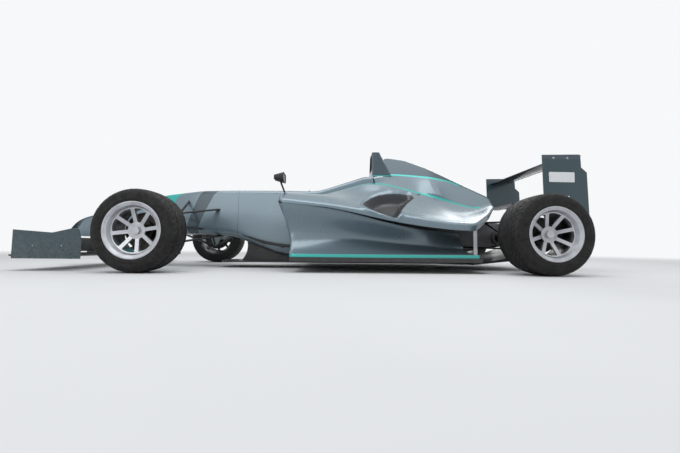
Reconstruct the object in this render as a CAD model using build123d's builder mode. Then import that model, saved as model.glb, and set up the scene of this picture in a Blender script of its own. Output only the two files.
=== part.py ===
from build123d import *
import os
from math import cos, degrees, radians, sin

# Single seat open wheel racing car, in millimetres.
# +X runs to the tail, +Y to the car's right-hand side and +Z up. The origin lies on the ground,
# midway along the car. A "behind" value is a distance behind the front axle, and a "half" value
# is a distance from the centre plane.

# Layout
wheelbase = 2710
nose_overhang = 965
tail_overhang = 540
front_track = 1506
rear_track = 1450
front_axle_x = (nose_overhang - wheelbase - tail_overhang) / 2

# Tyres and rims
front_tyre_radius = 270
front_tyre_width = 215
front_rim_width = 206
front_dish_depth = 58
rear_tyre_radius = 276
rear_tyre_width = 262
rear_rim_width = 254
rear_dish_depth = 76
flange_radius = 182.5
flange_thickness = 7
bead_radius = 165.1
well_radius = 152
barrel_wall = 5
spoke_count = 8
spoke_width = 24
spoke_thickness = 16
window_corner = 5
front_spoke_angle = 8
rear_spoke_angle = 15
hub_radius = 40
hub_bore_radius = 20.05
hub_inset = 10
nut_radius = 27
nut_length = 16

# Hub carriers, brakes and steering
running_clearance = 0.05
joint_inset = 91
carrier_thickness = 36
joint_height = 105
joint_pin_radius = 7
eye_radius = 16
eye_height = 16
eye_gap = 6
disc_radius = 125
disc_thickness = 16
disc_inset = 54
caliper_gap = 5
caliper_cheek = 16
steering_arm_length = 105
steering_arm_height = 22
steering_arm_thickness = 14
tie_rod_radius = 7
tie_rod_eye_radius = 14
tie_rod_eye_gap = 2
rack_radius = 12
rack_half_length = 105
column_radius = 10
column_angle = 20
steering_wheel_behind = 1085
steering_wheel_height = 560
steering_wheel_radius = 128

# Body
tub_wall = 12
floor_top = 108
floor_thickness = 12
floor_half = 700
reference_plane = 45
skirt_bottom = 78
foot_edge = 20
airbox_base = 800
airbox_top = 1022


def at(behind):
    """The row's X of a place this far behind the front axle."""
    return front_axle_x + behind


def across(behind):
    """The plane across the car at a station, seen from the tail: local X is +Y, local Y is +Z."""
    return Plane(origin=(at(behind), 0, 0), x_dir=(0, 1, 0), z_dir=(1, 0, 0))


def along(half):
    """The upright plane along the car at this distance to the right: local X is +X, local Y is +Z."""
    return Plane(origin=(0, half, 0), x_dir=(1, 0, 0), z_dir=(0, -1, 0))


def paired_section(behind, corners, radius):
    """A section across the car: its right-hand corners, mirrored to the left, all rounded."""
    mirrored = [(-half, height) for half, height in reversed(corners)]
    with BuildSketch(across(behind)) as drawn:
        with BuildLine():
            Polyline(*corners, *mirrored, close=True)
        make_face()
        fillet(drawn.vertices(), radius)
    return drawn.sketch


def bar(start, end, radius):
    """A round bar between two points."""
    first = Vector(*start)
    reach = Vector(*end) - first
    with BuildPart() as drawn:
        with BuildSketch(Plane(origin=first, z_dir=reach)):
            Circle(radius)
        extrude(amount=reach.length)
    return drawn.part


def blade(start, end, chord, thickness):
    """A flattened strut between two points, its chord along the car."""
    first = Vector(*start)
    reach = Vector(*end) - first
    chord_direction = Vector(1, 0, 0) - reach * (reach.X / reach.length**2)
    with BuildPart() as drawn:
        with BuildSketch(Plane(origin=first, x_dir=chord_direction, z_dir=reach)):
            SlotOverall(chord, thickness)
        extrude(amount=reach.length)
    return drawn.part


def both_sides(piece):
    """The piece and its mirror image across the centre plane."""
    with BuildPart() as drawn:
        add(piece)
        mirror(about=Plane.XZ)
    return drawn.part


pieces = {}


def keep(name, piece):
    """Note a finished piece under its node name."""
    piece.label = name
    pieces[name] = piece


# Monocoque sections: behind, half_top, half_side, side_height, half_bottom, bottom, top, corner
tub_rows = [
    (-150, 138, 152, 330, 120, 274, 600, 36),
    (160, 185, 200, 310, 158, 278, 637, 36),
    (430, 206, 222, 288, 178, 264, 641, 36),
    (560, 217, 232, 250, 185, 214, 641, 36),
    (700, 226, 246, 208, 195, 158, 641, 36),
    (850, 236, 258, 184, 205, floor_top, 641, 36),
    (1130, 240, 266, 176, 215, floor_top, 640, 36),
    (1600, 200, 266, 176, 215, floor_top, 790, 36),
]


def tub_section(row, inset=0, shift=0):
    """One monocoque section, or its inner one when an inset is given."""
    behind, half_top, half_side, side_height, half_bottom, bottom, top, corner = row
    corners = [
        (half_bottom - inset, bottom + inset),
        (half_side - inset, side_height),
        (half_top - inset, top - inset),
    ]
    return paired_section(behind + shift, corners, corner)


with BuildPart() as tub_envelope:
    loft([tub_section(row) for row in tub_rows], ruled=True)

with BuildPart() as tub_hollow:
    shifts = [tub_wall] + [0] * (len(tub_rows) - 2) + [-tub_wall]
    loft([tub_section(row, tub_wall, shift) for row, shift in zip(tub_rows, shifts)], ruled=True)

cockpit_front = 1005
cockpit_rear = 1560
cockpit_half_front = 150
cockpit_half_rear = 185

# Steering rack and column places, shared by the monocoque and the moving pieces
carrier_y = front_track / 2 - joint_inset
rack_height = (
    front_tyre_radius + steering_arm_height + steering_arm_thickness + tie_rod_eye_gap + tie_rod_radius
)
rack_x = at(-steering_arm_length)
rack_housing_radius = 20
rack_housing_length = 120
column_direction = Vector(cos(radians(column_angle)), 0, sin(radians(column_angle)))
wheel_centre = Vector(at(steering_wheel_behind), 0, steering_wheel_height)
column_length = 240
column_bearing = wheel_centre - column_direction * 150
column_bearing_radius = 19
column_bearing_length = 40

with BuildPart() as monocoque:
    add(tub_envelope.part)
    add(tub_hollow.part, mode=Mode.SUBTRACT)
    with BuildSketch(Plane.XY.offset(500)):
        with BuildLine():
            Polyline(
                (at(cockpit_front), cockpit_half_front),
                (at(cockpit_rear), cockpit_half_rear),
                (at(cockpit_rear), -cockpit_half_rear),
                (at(cockpit_front), -cockpit_half_front),
                close=True,
            )
        make_face()
        fillet(vertices(), 60)
    extrude(amount=400, mode=Mode.SUBTRACT)
    with BuildSketch(along(0)):
        with Locations((rack_x, rack_height)):
            Circle(rack_housing_radius)
        with Locations((rack_x, rack_height - rack_housing_radius)):
            Rectangle(24, 40)
    extrude(amount=rack_housing_length / 2, both=True)
    with BuildSketch(along(0)):
        with Locations((rack_x, rack_height)):
            Circle(rack_radius + running_clearance)
    extrude(amount=rack_housing_length, both=True, mode=Mode.SUBTRACT)
    with BuildSketch(along(0)):
        with Locations((rack_x, rack_height)):
            Circle(tie_rod_radius + 5)
    extrude(amount=300, both=True, mode=Mode.SUBTRACT)
    with BuildSketch(Plane(origin=column_bearing, x_dir=(0, 1, 0), z_dir=column_direction)):
        Circle(column_bearing_radius)
    extrude(amount=column_bearing_length / 2, both=True)
    with BuildSketch(along(0)):
        with Locations((column_bearing.X, (column_bearing.Z + 632) / 2 + 4)):
            Rectangle(14, 632 - column_bearing.Z - 8)
    extrude(amount=10, both=True)
    with BuildSketch(Plane(origin=column_bearing, x_dir=(0, 1, 0), z_dir=column_direction)):
        Circle(column_radius + running_clearance)
    extrude(amount=column_bearing_length, both=True, mode=Mode.SUBTRACT)
keep("monocoque", monocoque.part)

# Nose sections: behind, half_top, half_bottom, bottom, top, corner
nose_rows = [
    (-nose_overhang, 58, 64, 256, 288, 8),
    (-925, 84, 92, 250, 352, 28),
    (-850, 100, 108, 248, 398, 38),
    (-620, 114, 126, 254, 464, 40),
    (-380, 126, 142, 264, 536, 40),
]


def nose_section(row):
    """One nose section, with its sides slightly fuller than its top."""
    behind, half_top, half_bottom, bottom, top, corner = row
    corners = [
        (half_bottom, bottom),
        ((half_bottom + half_top) / 2 + 8, (bottom + top) / 2),
        (half_top, top),
    ]
    return paired_section(behind, corners, corner)


with BuildPart() as nose_cone:
    loft([nose_section(row) for row in nose_rows] + [tub_section(tub_rows[0])])
keep("nose_cone", nose_cone.part)

# Front wing
front_wing_half = 712
front_plane_height = 104
front_plane_behind = -870
front_plane_chord = 240
front_flap_behind = -655
front_flap_height = 128
front_flap_chord = 190
front_flap_angle = 30
endplate_thickness = 8


def wing_element(behind, height, chord, thickness, camber, angle, half_span):
    """A wing element across the car: two arcs from its leading edge, turned nose down by the angle."""
    turned = radians(angle)
    plane = Plane(
        origin=(at(behind), 0, height), x_dir=(cos(turned), 0, sin(turned)), z_dir=(0, -1, 0)
    )
    edge = thickness / 5
    with BuildPart() as drawn:
        with BuildSketch(plane):
            with BuildLine():
                Line((0, edge), (0, -edge))
                ThreePointArc((0, -edge), (chord * 0.45, -camber - thickness / 2), (chord, -edge / 2))
                Line((chord, -edge / 2), (chord, edge / 2))
                ThreePointArc((chord, edge / 2), (chord * 0.45, -camber + thickness / 2), (0, edge))
            make_face()
        extrude(amount=half_span, both=True)
    return drawn.part


with BuildPart() as front_wing_plane:
    add(wing_element(front_plane_behind, front_plane_height, front_plane_chord, 20, 16, 3, front_wing_half))
    for side in (-1, 1):
        with BuildSketch(along(side * 62)):
            with BuildLine():
                Polyline(
                    (at(-845), front_plane_height - 16),
                    (at(-700), front_plane_height - 12),
                    (at(-640), 330),
                    (at(-800), 330),
                    close=True,
                )
            make_face()
        extrude(amount=5, both=True)
    add(nose_cone.part, mode=Mode.SUBTRACT)
keep("front_wing_plane", front_wing_plane.part)

with BuildPart() as front_wing_flaps:
    add(
        wing_element(
            front_flap_behind, front_flap_height, front_flap_chord, 12, 12, front_flap_angle, front_wing_half
        )
    )
    with BuildSketch(Plane.XY):
        with Locations((at(front_flap_behind), 0)):
            Rectangle(600, 260)
    extrude(amount=500, mode=Mode.SUBTRACT)
keep("front_wing_flaps", front_wing_flaps.part)

# Front endplate outline: behind, height
front_endplate_outline = [
    (-845, 82),
    (-845, 272),
    (-590, 254),
    (-462, 284),
    (-424, 279),
    (-405, 212),
    (-405, 82),
]
with BuildPart() as front_endplate:
    with BuildSketch(along(front_wing_half)):
        with BuildLine():
            Polyline(*[(at(behind), height) for behind, height in front_endplate_outline], close=True)
        make_face()
        fillet(vertices().group_by(Axis.Y)[-1], 14)
    extrude(amount=-endplate_thickness)
keep("front_endplates", both_sides(front_endplate.part))

# Floor with its splitter tray, central step, edge skirts and diffuser
tray_front = 330
tray_half = 205
floor_front = 965
floor_rear = 2385
diffuser_rear = 2960
diffuser_half = 330
diffuser_height = 145
with BuildPart() as floor_pan:
    with BuildSketch(Plane.XY.offset(floor_top)):
        with BuildLine():
            Polyline(
                (at(floor_front), floor_half),
                (at(floor_rear - 90), floor_half),
                (at(floor_rear), floor_half - 60),
                (at(floor_rear), -(floor_half - 60)),
                (at(floor_rear - 90), -floor_half),
                (at(floor_front), -floor_half),
                close=True,
            )
        make_face()
    extrude(amount=-floor_thickness)
    with BuildSketch(Plane.XY.offset(reference_plane)):
        with Locations((at((tray_front + floor_rear) / 2), 0)):
            Rectangle(floor_rear - tray_front, 2 * tray_half)
        fillet(vertices().group_by(Axis.X)[0], 90)
    extrude(amount=floor_thickness)
    with BuildSketch(Plane.XY.offset(reference_plane)):
        with Locations((at((floor_front + floor_rear) / 2), 0)):
            Rectangle(floor_rear - floor_front, 2 * tray_half)
    extrude(amount=floor_top - reference_plane)
    for side in (-1, 1):
        with BuildSketch(Plane.XY.offset(skirt_bottom)):
            with Locations((at((floor_front + floor_rear - 90) / 2), side * (floor_half - 6))):
                Rectangle(floor_rear - 90 - floor_front, 12)
        extrude(amount=floor_top - skirt_bottom)
    with BuildSketch(along(0)):
        with BuildLine():
            ThreePointArc(
                (at(floor_rear), reference_plane),
                (at((floor_rear + diffuser_rear) / 2), reference_plane + diffuser_height * 0.36),
                (at(diffuser_rear), reference_plane + diffuser_height),
            )
            Line(
                (at(diffuser_rear), reference_plane + diffuser_height),
                (at(diffuser_rear), reference_plane + diffuser_height + 8),
            )
            ThreePointArc(
                (at(diffuser_rear), reference_plane + diffuser_height + 8),
                (at((floor_rear + diffuser_rear) / 2), reference_plane + diffuser_height * 0.36 + 8),
                (at(floor_rear), reference_plane + 14),
            )
            Line((at(floor_rear), reference_plane + 14), (at(floor_rear), reference_plane))
        make_face()
    extrude(amount=diffuser_half, both=True)
    for half in (-diffuser_half + 4, -130, 130, diffuser_half - 4):
        with BuildSketch(along(half)):
            with BuildLine():
                ThreePointArc(
                    (at(floor_rear), reference_plane),
                    (at((floor_rear + diffuser_rear) / 2), reference_plane + diffuser_height * 0.36 + 4),
                    (at(diffuser_rear), reference_plane + diffuser_height + 4),
                )
                Polyline(
                    (at(diffuser_rear), reference_plane + diffuser_height + 4),
                    (at(diffuser_rear), reference_plane + 60),
                    (at(floor_rear), reference_plane),
                )
            make_face()
        extrude(amount=3, both=True)
keep("floor", floor_pan.part)

# Keel between the splitter tray and the monocoque, its leading edge hollowed
with BuildPart() as keel:
    with BuildSketch(along(0)):
        with BuildLine():
            Polyline(
                (at(478), reference_plane + floor_thickness),
                (at(floor_front), reference_plane + floor_thickness),
                (at(floor_front), 300),
                (at(480), 300),
            )
            ThreePointArc(
                (at(480), 300), (at(524), 150), (at(478), reference_plane + floor_thickness)
            )
        make_face()
    extrude(amount=70, both=True)
    add(tub_envelope.part, mode=Mode.SUBTRACT)
    add(floor_pan.part, mode=Mode.SUBTRACT)
keep("keel", keel.part)

# Sidepod lower body, right-hand side:
# behind, foot, waist, waist_height, seam, seam_height
pod_rows = [
    (860, 700, 590, 290, 648, 484),
    (1100, 700, 578, 275, 645, 466),
    (1320, 700, 540, 262, 630, 440),
    (1560, 700, 470, 230, 545, 385),
    (1850, 690, 400, 200, 430, 332),
    (2290, 660, 380, 170, 290, 290),
]
pod_inner = 272


def pod_section(row):
    """The lower body of one pod: foot edge, hollowed side, seam under the upper body."""
    behind, foot, waist, waist_height, seam, seam_height = row
    foot_height = floor_top + foot_edge
    with BuildSketch(across(behind)) as drawn:
        with BuildLine():
            Polyline(
                (seam, seam_height), (pod_inner - 60, seam_height), (pod_inner - 60, floor_top),
                (foot, floor_top), (foot, foot_height),
            )
            ThreePointArc((foot, foot_height), (waist, waist_height), (seam, seam_height))
        make_face()
    return drawn.sketch


# Leading edge of the pods, seen from the side: behind, height
pod_front_outline = [
    (800, 700),
    (892, 700),
    (880, 585),
    (878, 485),
    (925, 357),
    (957, 236),
    (968, 90),
    (800, 90),
]
# Inlet duct corners: half, height
duct_corners = [(300, 200), (525, 200), (540, 290), (590, 520), (300, 530)]
duct_corner_radius = 22
duct_rear = 1190
radiator_thickness = 42

with BuildPart() as pod_front_cut:
    with BuildSketch(along(0)):
        with BuildLine():
            Polyline(*[(at(behind), height) for behind, height in pod_front_outline], close=True)
        make_face()
    extrude(amount=-(floor_half + 40))


def duct_section(behind):
    """The rounded outline of the right-hand inlet duct."""
    with BuildSketch(across(behind)) as drawn:
        with BuildLine():
            Polyline(*duct_corners, close=True)
        make_face()
        fillet(drawn.vertices(), duct_corner_radius)
    return drawn.sketch


with BuildPart() as duct:
    extrude(duct_section(duct_rear + radiator_thickness), amount=-(duct_rear + radiator_thickness - 800))

with BuildPart() as pod:
    loft([pod_section(row) for row in pod_rows], ruled=True)
    add(tub_envelope.part, mode=Mode.SUBTRACT)
    add(pod_front_cut.part, mode=Mode.SUBTRACT)
    add(duct.part, mode=Mode.SUBTRACT)
keep("sidepods", both_sides(pod.part))

with BuildPart() as radiator:
    extrude(duct_section(duct_rear), amount=radiator_thickness)
keep("radiators", both_sides(radiator.part))

# Engine and gearbox
engine_front = 1600
engine_rear = 2170
engine_half = 150
engine_bottom = 112
engine_top = 575
gearbox_rear = 2930
with BuildPart() as engine:
    with BuildSketch(across(engine_front)):
        with Locations((0, (engine_bottom + engine_top) / 2)):
            Rectangle(2 * engine_half, engine_top - engine_bottom)
    extrude(amount=engine_rear - engine_front)
    chamfer(engine.edges().filter_by(Axis.X).group_by(Axis.Z)[-1], 60)
keep("engine", engine.part)

# Gearbox sections: behind, half, bottom, top
gearbox_rows = [
    (engine_rear, 145, 128, 440),
    (2400, 112, 146, 420),
    (gearbox_rear, 84, 222, 392),
]
output_bore_depth = 24
with BuildPart() as gearbox:
    loft(
        [
            paired_section(behind, [(half, bottom), (half, top)], 24)
            for behind, half, bottom, top in gearbox_rows
        ],
        ruled=True,
    )
    with BuildSketch(along(0)):
        with Locations((at(wheelbase), rear_tyre_radius)):
            Circle(58)
    extrude(amount=118, both=True)
    with BuildSketch(along(0)):
        with Locations((at(wheelbase), rear_tyre_radius)):
            Circle(hub_bore_radius)
    extrude(amount=200, both=True, mode=Mode.SUBTRACT)
    with BuildSketch(along(0)):
        with Locations((at(wheelbase), rear_tyre_radius)):
            Circle(30)
    extrude(amount=118 - output_bore_depth, both=True)
keep("gearbox", gearbox.part)

# Upper body: behind, then (half, height) of spine, upper stripe, shoulder stripe, valley,
# crest and lip, then the lip's lower edge and the corner radius
cover_rows = [
    (860, (60, 540), (120, 560), (200, 575), (300, 584), (540, 586), (650, 512), 484, 10),
    (1210, (120, 590), (170, 596), (292, 610), (390, 584), (540, 560), (652, 476), 456, 10),
    (1380, (120, 640), (180, 655), (302, 657), (395, 594), (552, 515), (653, 455), 426, 10),
    (1530, (110, 700), (180, 715), (309, 700), (400, 600), (560, 478), (654, 432), 393, 10),
    (1610, (40, 900), (130, 818), (303, 699), (404, 585), (560, 462), (655, 423), 376, 10),
    (1700, (24, 990), (100, 815), (290, 691), (410, 570), (560, 450), (656, 414), 358, 10),
    (1900, (22, 968), (84, 814), (258, 648), (400, 520), (560, 420), (648, 385), 328, 10),
    (2110, (20, 896), (60, 806), (226, 601), (380, 480), (540, 390), (634, 356), 307, 10),
    (2290, (18, 816), (42, 780), (197, 556), (330, 452), (500, 385), (612, 352), 300, 8),
    (2480, (16, 728), (26, 715), (168, 516), (240, 478), (330, 462), (408, 446), 404, 8),
    (2680, (12, 640), (24, 622), (60, 580), (80, 566), (94, 556), (106, 548), 532, 4),
]


cover_wall = 8
cover_hollow_front = 1430


def cover_section(row):
    """One section of the upper body."""
    behind, *upper, lip_bottom, corner = row
    lip_half = upper[-1][0]
    return paired_section(behind, [*upper, (lip_half, lip_bottom)], corner)


def cover_hollow_section(row):
    """The hollow under one section of the upper body, open below the lip."""
    behind, *upper, lip_bottom, corner = row
    inner = [(half - cover_wall, height - cover_wall) for half, height in upper]
    return paired_section(max(behind, cover_hollow_front), [*inner, (inner[-1][0], lip_bottom - 80)], 3)


with BuildPart() as cover_hollow:
    loft([cover_hollow_section(row) for row in cover_rows if row[0] >= 1380], ruled=True)
with BuildPart() as airbox_cut:
    with BuildSketch(along(0)):
        with BuildLine():
            Polyline(
                (at(1400), airbox_base),
                (at(1773), airbox_base),
                (at(1672), airbox_top + 40),
                (at(1400), airbox_top + 40),
                close=True,
            )
        make_face()
    extrude(amount=300, both=True)

# Blister over the gearbox's oil tank: a long barrel about its own sloping axis
blister_behind = 2145
blister_half = 178
blister_height = 628
blister_half_length = 185
blister_radius = 66
blister_slope = 14
blister_tip = 6

blister_direction = Vector(cos(radians(blister_slope)), 0, -sin(radians(blister_slope)))
blister_plane = Plane(
    origin=(at(blister_behind), blister_half, blister_height), x_dir=blister_direction, z_dir=(0, -1, 0)
)

with BuildPart() as blister:
    with BuildSketch(blister_plane):
        with BuildLine():
            ThreePointArc(
                (-blister_half_length, blister_tip), (0, blister_radius), (blister_half_length, blister_tip)
            )
            Polyline(
                (blister_half_length, blister_tip), (blister_half_length, 0),
                (-blister_half_length, 0), (-blister_half_length, blister_tip),
            )
        make_face()
    revolve(axis=Axis(blister_plane.origin, blister_direction))

with BuildPart() as engine_cover:
    loft([cover_section(row) for row in cover_rows], ruled=True)
    add(both_sides(blister.part))
    add(cover_hollow.part, mode=Mode.SUBTRACT)
    add(tub_envelope.part, mode=Mode.SUBTRACT)
    add(airbox_cut.part, mode=Mode.SUBTRACT)
    add(both_sides(pod_front_cut.part), mode=Mode.SUBTRACT)
    add(both_sides(duct.part), mode=Mode.SUBTRACT)
    add(both_sides(pod.part), mode=Mode.SUBTRACT)
keep("engine_cover", engine_cover.part)

# Airbox with its forward intake: front, rear, half, height
airbox_rows = [(1600, 1772, 128, airbox_base), (1603, 1674, 84, airbox_top)]


def airbox_section(row):
    """One level section of the airbox."""
    front, rear, half, height = row
    with BuildSketch(Plane.XY.offset(height)) as drawn:
        with Locations((at((front + rear) / 2), 0)):
            Rectangle(rear - front, 2 * half)
        fillet(drawn.vertices(), 18)
    return drawn.sketch


with BuildPart() as airbox:
    loft([airbox_section(row) for row in airbox_rows], ruled=True)
    with BuildSketch(across(1590)):
        with BuildLine():
            Polyline(
                (94, airbox_base + 60),
                (64, airbox_top - 18),
                (-64, airbox_top - 18),
                (-94, airbox_base + 60),
                close=True,
            )
        make_face()
        fillet(vertices(), 22)
    extrude(amount=74, mode=Mode.SUBTRACT)
keep("airbox", airbox.part)

# Cockpit fittings
with BuildPart() as headrest:
    with BuildSketch(across(1492)):
        with Locations((0, 700)):
            Rectangle(230, 158)
        fillet(vertices(), 24)
    extrude(amount=cockpit_rear - 1492)
keep("headrest", headrest.part)

with BuildPart() as seat:
    with BuildSketch(along(0)):
        with BuildLine():
            Polyline(
                (at(1120), floor_top + tub_wall),
                (at(1400), floor_top + tub_wall),
                (at(1560), 600),
                (at(1530), 600),
                (at(1380), floor_top + tub_wall + 26),
                (at(1120), floor_top + tub_wall + 60),
                close=True,
            )
        make_face()
    extrude(amount=170, both=True)
keep("seat", seat.part)

with BuildPart() as steering_wheel:
    wheel_plane = Plane(origin=wheel_centre, x_dir=(0, 1, 0), z_dir=column_direction)
    with BuildSketch(wheel_plane):
        Circle(steering_wheel_radius)
        Circle(steering_wheel_radius - 24, mode=Mode.SUBTRACT)
        Rectangle(2 * steering_wheel_radius - 20, 52)
        with Locations((0, -steering_wheel_radius / 2)):
            Rectangle(36, steering_wheel_radius - 10)
    extrude(amount=11, both=True)
    with BuildSketch(wheel_plane):
        Circle(column_radius)
    extrude(amount=-column_length)
keep("steering_wheel", steering_wheel.part)

# Mirrors on their stalks
mirror_half = 425
mirror_behind = 884
mirror_height = 706
mirror_depth = 76
with BuildPart() as side_mirror:
    with BuildSketch(across(mirror_behind)):
        with Locations((mirror_half, mirror_height)):
            RectangleRounded(150, 70, 26)
    with BuildSketch(across(mirror_behind - mirror_depth)):
        with Locations((mirror_half, mirror_height)):
            RectangleRounded(92, 34, 14)
    loft()
    with BuildSketch(across(mirror_behind)):
        with Locations((mirror_half, mirror_height)):
            RectangleRounded(138, 58, 21)
    extrude(amount=-4, mode=Mode.SUBTRACT)
    add(bar((at(850), mirror_half, mirror_height - 20), (at(893), mirror_half, 575), 7))
    add(engine_cover.part, mode=Mode.SUBTRACT)
keep("mirrors", both_sides(side_mirror.part))


def wheel_plane_at(behind, track, radius, side):
    """A wheel's plane: local Z points outboard, local X to the tail and local Y up."""
    return Plane(origin=(at(behind), side * track / 2, radius), x_dir=(1, 0, 0), z_dir=(0, side, 0))


def tyre(radius, width, rim_width):
    """A tyre about local Z: beads on the rim, bulged sidewalls, rounded shoulders, crowned tread."""
    bead = rim_width / 2 - flange_thickness
    half = width / 2
    with BuildPart() as drawn:
        with BuildSketch(Plane.XZ):
            with BuildLine():
                Polyline((bead_radius, -bead), (flange_radius + 1, -bead), (flange_radius + 5, -half + 6))
                ThreePointArc(
                    (flange_radius + 5, -half + 6), (radius - 46, -half), (radius - 16, -half + 7)
                )
                ThreePointArc(
                    (radius - 16, -half + 7), (radius - 6, -half + 14), (radius - 3, -half + 28)
                )
                ThreePointArc((radius - 3, -half + 28), (radius, 0), (radius - 3, half - 28))
                ThreePointArc((radius - 3, half - 28), (radius - 6, half - 14), (radius - 16, half - 7))
                ThreePointArc(
                    (radius - 16, half - 7), (radius - 46, half), (flange_radius + 5, half - 6)
                )
                Polyline((flange_radius + 5, half - 6), (flange_radius + 1, bead), (bead_radius, bead))
                Line((bead_radius, bead), (bead_radius, -bead))
            make_face()
        revolve(axis=Axis.Z)
    return drawn.part


def rim(rim_width, dish_depth, spoke_angle):
    """A dished centre-lock rim about local Z: barrel, spokes, hub and nut."""
    lip = rim_width / 2
    plate = lip - dish_depth
    barrel = [
        (flange_radius, lip),
        (flange_radius, lip - flange_thickness),
        (bead_radius, lip - flange_thickness),
        (bead_radius, lip - 26),
        (well_radius, lip - 36),
        (well_radius, lip - 70),
        (bead_radius, lip - 84),
        (bead_radius, -lip + flange_thickness),
        (flange_radius, -lip + flange_thickness),
        (flange_radius, -lip),
        (flange_radius - 8, -lip),
        (bead_radius - barrel_wall, -lip + 10),
        (bead_radius - barrel_wall, lip - 86),
        (well_radius - barrel_wall, lip - 72),
        (well_radius - barrel_wall, lip - 30),
        (bead_radius - barrel_wall - 2, lip - 9),
        (flange_radius - 6, lip),
    ]
    dish = [
        (0, plate),
        (hub_radius + 14, plate),
        (well_radius - barrel_wall / 2, lip - 32),
        (well_radius - barrel_wall / 2, lip - 32 - spoke_thickness),
        (hub_radius, plate - spoke_thickness - 6),
        (hub_radius, -hub_inset),
        (hub_bore_radius, -hub_inset),
        (hub_bore_radius, plate - 14),
        (0, plate - 14),
    ]
    half_pitch = radians(180 / spoke_count)
    window = []
    for reach in (hub_radius + 14, well_radius - 14):
        window.append(
            (
                reach * cos(half_pitch) + spoke_width / 2 * sin(half_pitch),
                reach * sin(half_pitch) - spoke_width / 2 * cos(half_pitch),
            )
        )
    (inner_x, inner_y), (outer_x, outer_y) = window
    with BuildSketch() as one_window:
        with BuildLine():
            Polyline((outer_x, -outer_y), (inner_x, -inner_y), (inner_x, inner_y), (outer_x, outer_y))
            ThreePointArc((outer_x, outer_y), (well_radius - 10, 0), (outer_x, -outer_y))
        make_face()
        fillet(vertices(), window_corner)
    with BuildPart() as drawn:
        for outline in (barrel, dish):
            with BuildSketch(Plane.XZ):
                with BuildLine():
                    Polyline(*outline, close=True)
                make_face()
            revolve(axis=Axis.Z)
        with BuildSketch(Plane.XY.offset(lip)):
            with PolarLocations(0, spoke_count, start_angle=spoke_angle + degrees(half_pitch)):
                add(one_window.sketch)
        extrude(amount=-(dish_depth + spoke_thickness + 12), mode=Mode.SUBTRACT)
        with BuildSketch(Plane.XY.offset(plate)):
            RegularPolygon(nut_radius, 6)
        extrude(amount=nut_length)
    return drawn.part


def brake_disc():
    """A brake disc and its bell about local Z."""
    outer_face = -disc_inset + disc_thickness / 2
    inner_face = -disc_inset - disc_thickness / 2
    bell = disc_radius - 57
    with BuildPart() as drawn:
        with BuildSketch(Plane.XZ):
            with BuildLine():
                Polyline(
                    (disc_radius, inner_face),
                    (disc_radius, outer_face),
                    (bell + 6, outer_face),
                    (bell + 6, -hub_inset),
                    (hub_bore_radius + 6, -hub_inset),
                    (hub_bore_radius + 6, -hub_inset - 6),
                    (bell, -hub_inset - 6),
                    (bell, inner_face),
                    close=True,
                )
            make_face()
        revolve(axis=Axis.Z)
    return drawn.part


def caliper():
    """A brake caliper about local Z, on the tail side, open over the disc."""
    outer = disc_inset - disc_thickness / 2 - caliper_gap - caliper_cheek
    inner = disc_inset + disc_thickness / 2 + caliper_gap + caliper_cheek
    with BuildPart() as drawn:
        with BuildSketch(Plane.XY.offset(-inner)):
            Circle(disc_radius + 22)
            Circle(disc_radius - 40, mode=Mode.SUBTRACT)
            with Locations((disc_radius - 10, 0)):
                Rectangle(110, 104, mode=Mode.INTERSECT)
        extrude(amount=inner - outer)
        with BuildSketch(Plane.XY.offset(-inner + caliper_cheek)):
            Circle(disc_radius + caliper_gap)
        extrude(amount=disc_thickness + 2 * caliper_gap, mode=Mode.SUBTRACT)
    return drawn.part


caliper_back = disc_inset + disc_thickness / 2 + caliper_gap + caliper_cheek
carrier_face = joint_inset - carrier_thickness / 2


def hub_carrier():
    """The plate between the upper and lower joints, with the caliper's bracket, about local Z."""
    with BuildPart() as drawn:
        with BuildSketch(Plane.XY.offset(-joint_inset)):
            with BuildLine():
                Polyline(
                    (-20, -joint_height + eye_height / 2 + eye_gap),
                    (20, -joint_height + eye_height / 2 + eye_gap),
                    (46, -20),
                    (46, 20),
                    (20, joint_height - eye_height / 2 - eye_gap),
                    (-20, joint_height - eye_height / 2 - eye_gap),
                    (-46, 20),
                    (-46, -20),
                    close=True,
                )
            make_face()
        extrude(amount=carrier_thickness / 2, both=True)
        with BuildSketch(Plane.XY.offset(-caliper_back)):
            with Locations((80, 0)):
                Rectangle(100, 44)
        extrude(amount=-12)
        with BuildSketch(Plane.XZ):
            with Locations((0, -joint_inset)):
                Circle(joint_pin_radius)
        extrude(amount=joint_height + eye_height / 2, both=True)
    return drawn.part


with BuildPart() as front_carrier:
    add(hub_carrier())
    with BuildSketch(Plane.XY.offset(-joint_inset)):
        Circle(hub_bore_radius - running_clearance)
    extrude(amount=joint_inset + front_rim_width / 2 - front_dish_depth - 16)
    with BuildSketch(Plane(origin=(0, steering_arm_height, 0), x_dir=(1, 0, 0), z_dir=(0, 1, 0))):
        with Locations((-steering_arm_length, joint_inset)):
            Circle(tie_rod_eye_radius)
        with Locations((-steering_arm_length / 2, joint_inset)):
            Rectangle(steering_arm_length, 2 * tie_rod_eye_radius - 6)
    extrude(amount=steering_arm_thickness)
with BuildPart() as rear_carrier:
    add(hub_carrier())
    with BuildSketch(Plane.XY.offset(-joint_inset)):
        Circle(22 + running_clearance)
    extrude(amount=carrier_thickness, both=True, mode=Mode.SUBTRACT)

front_tyre = tyre(front_tyre_radius, front_tyre_width, front_rim_width)
rear_tyre = tyre(rear_tyre_radius, rear_tyre_width, rear_rim_width)
front_rim = rim(front_rim_width, front_dish_depth, front_spoke_angle)
rear_rim = rim(rear_rim_width, rear_dish_depth, rear_spoke_angle)
disc = brake_disc()
brake_caliper = caliper()

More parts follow.
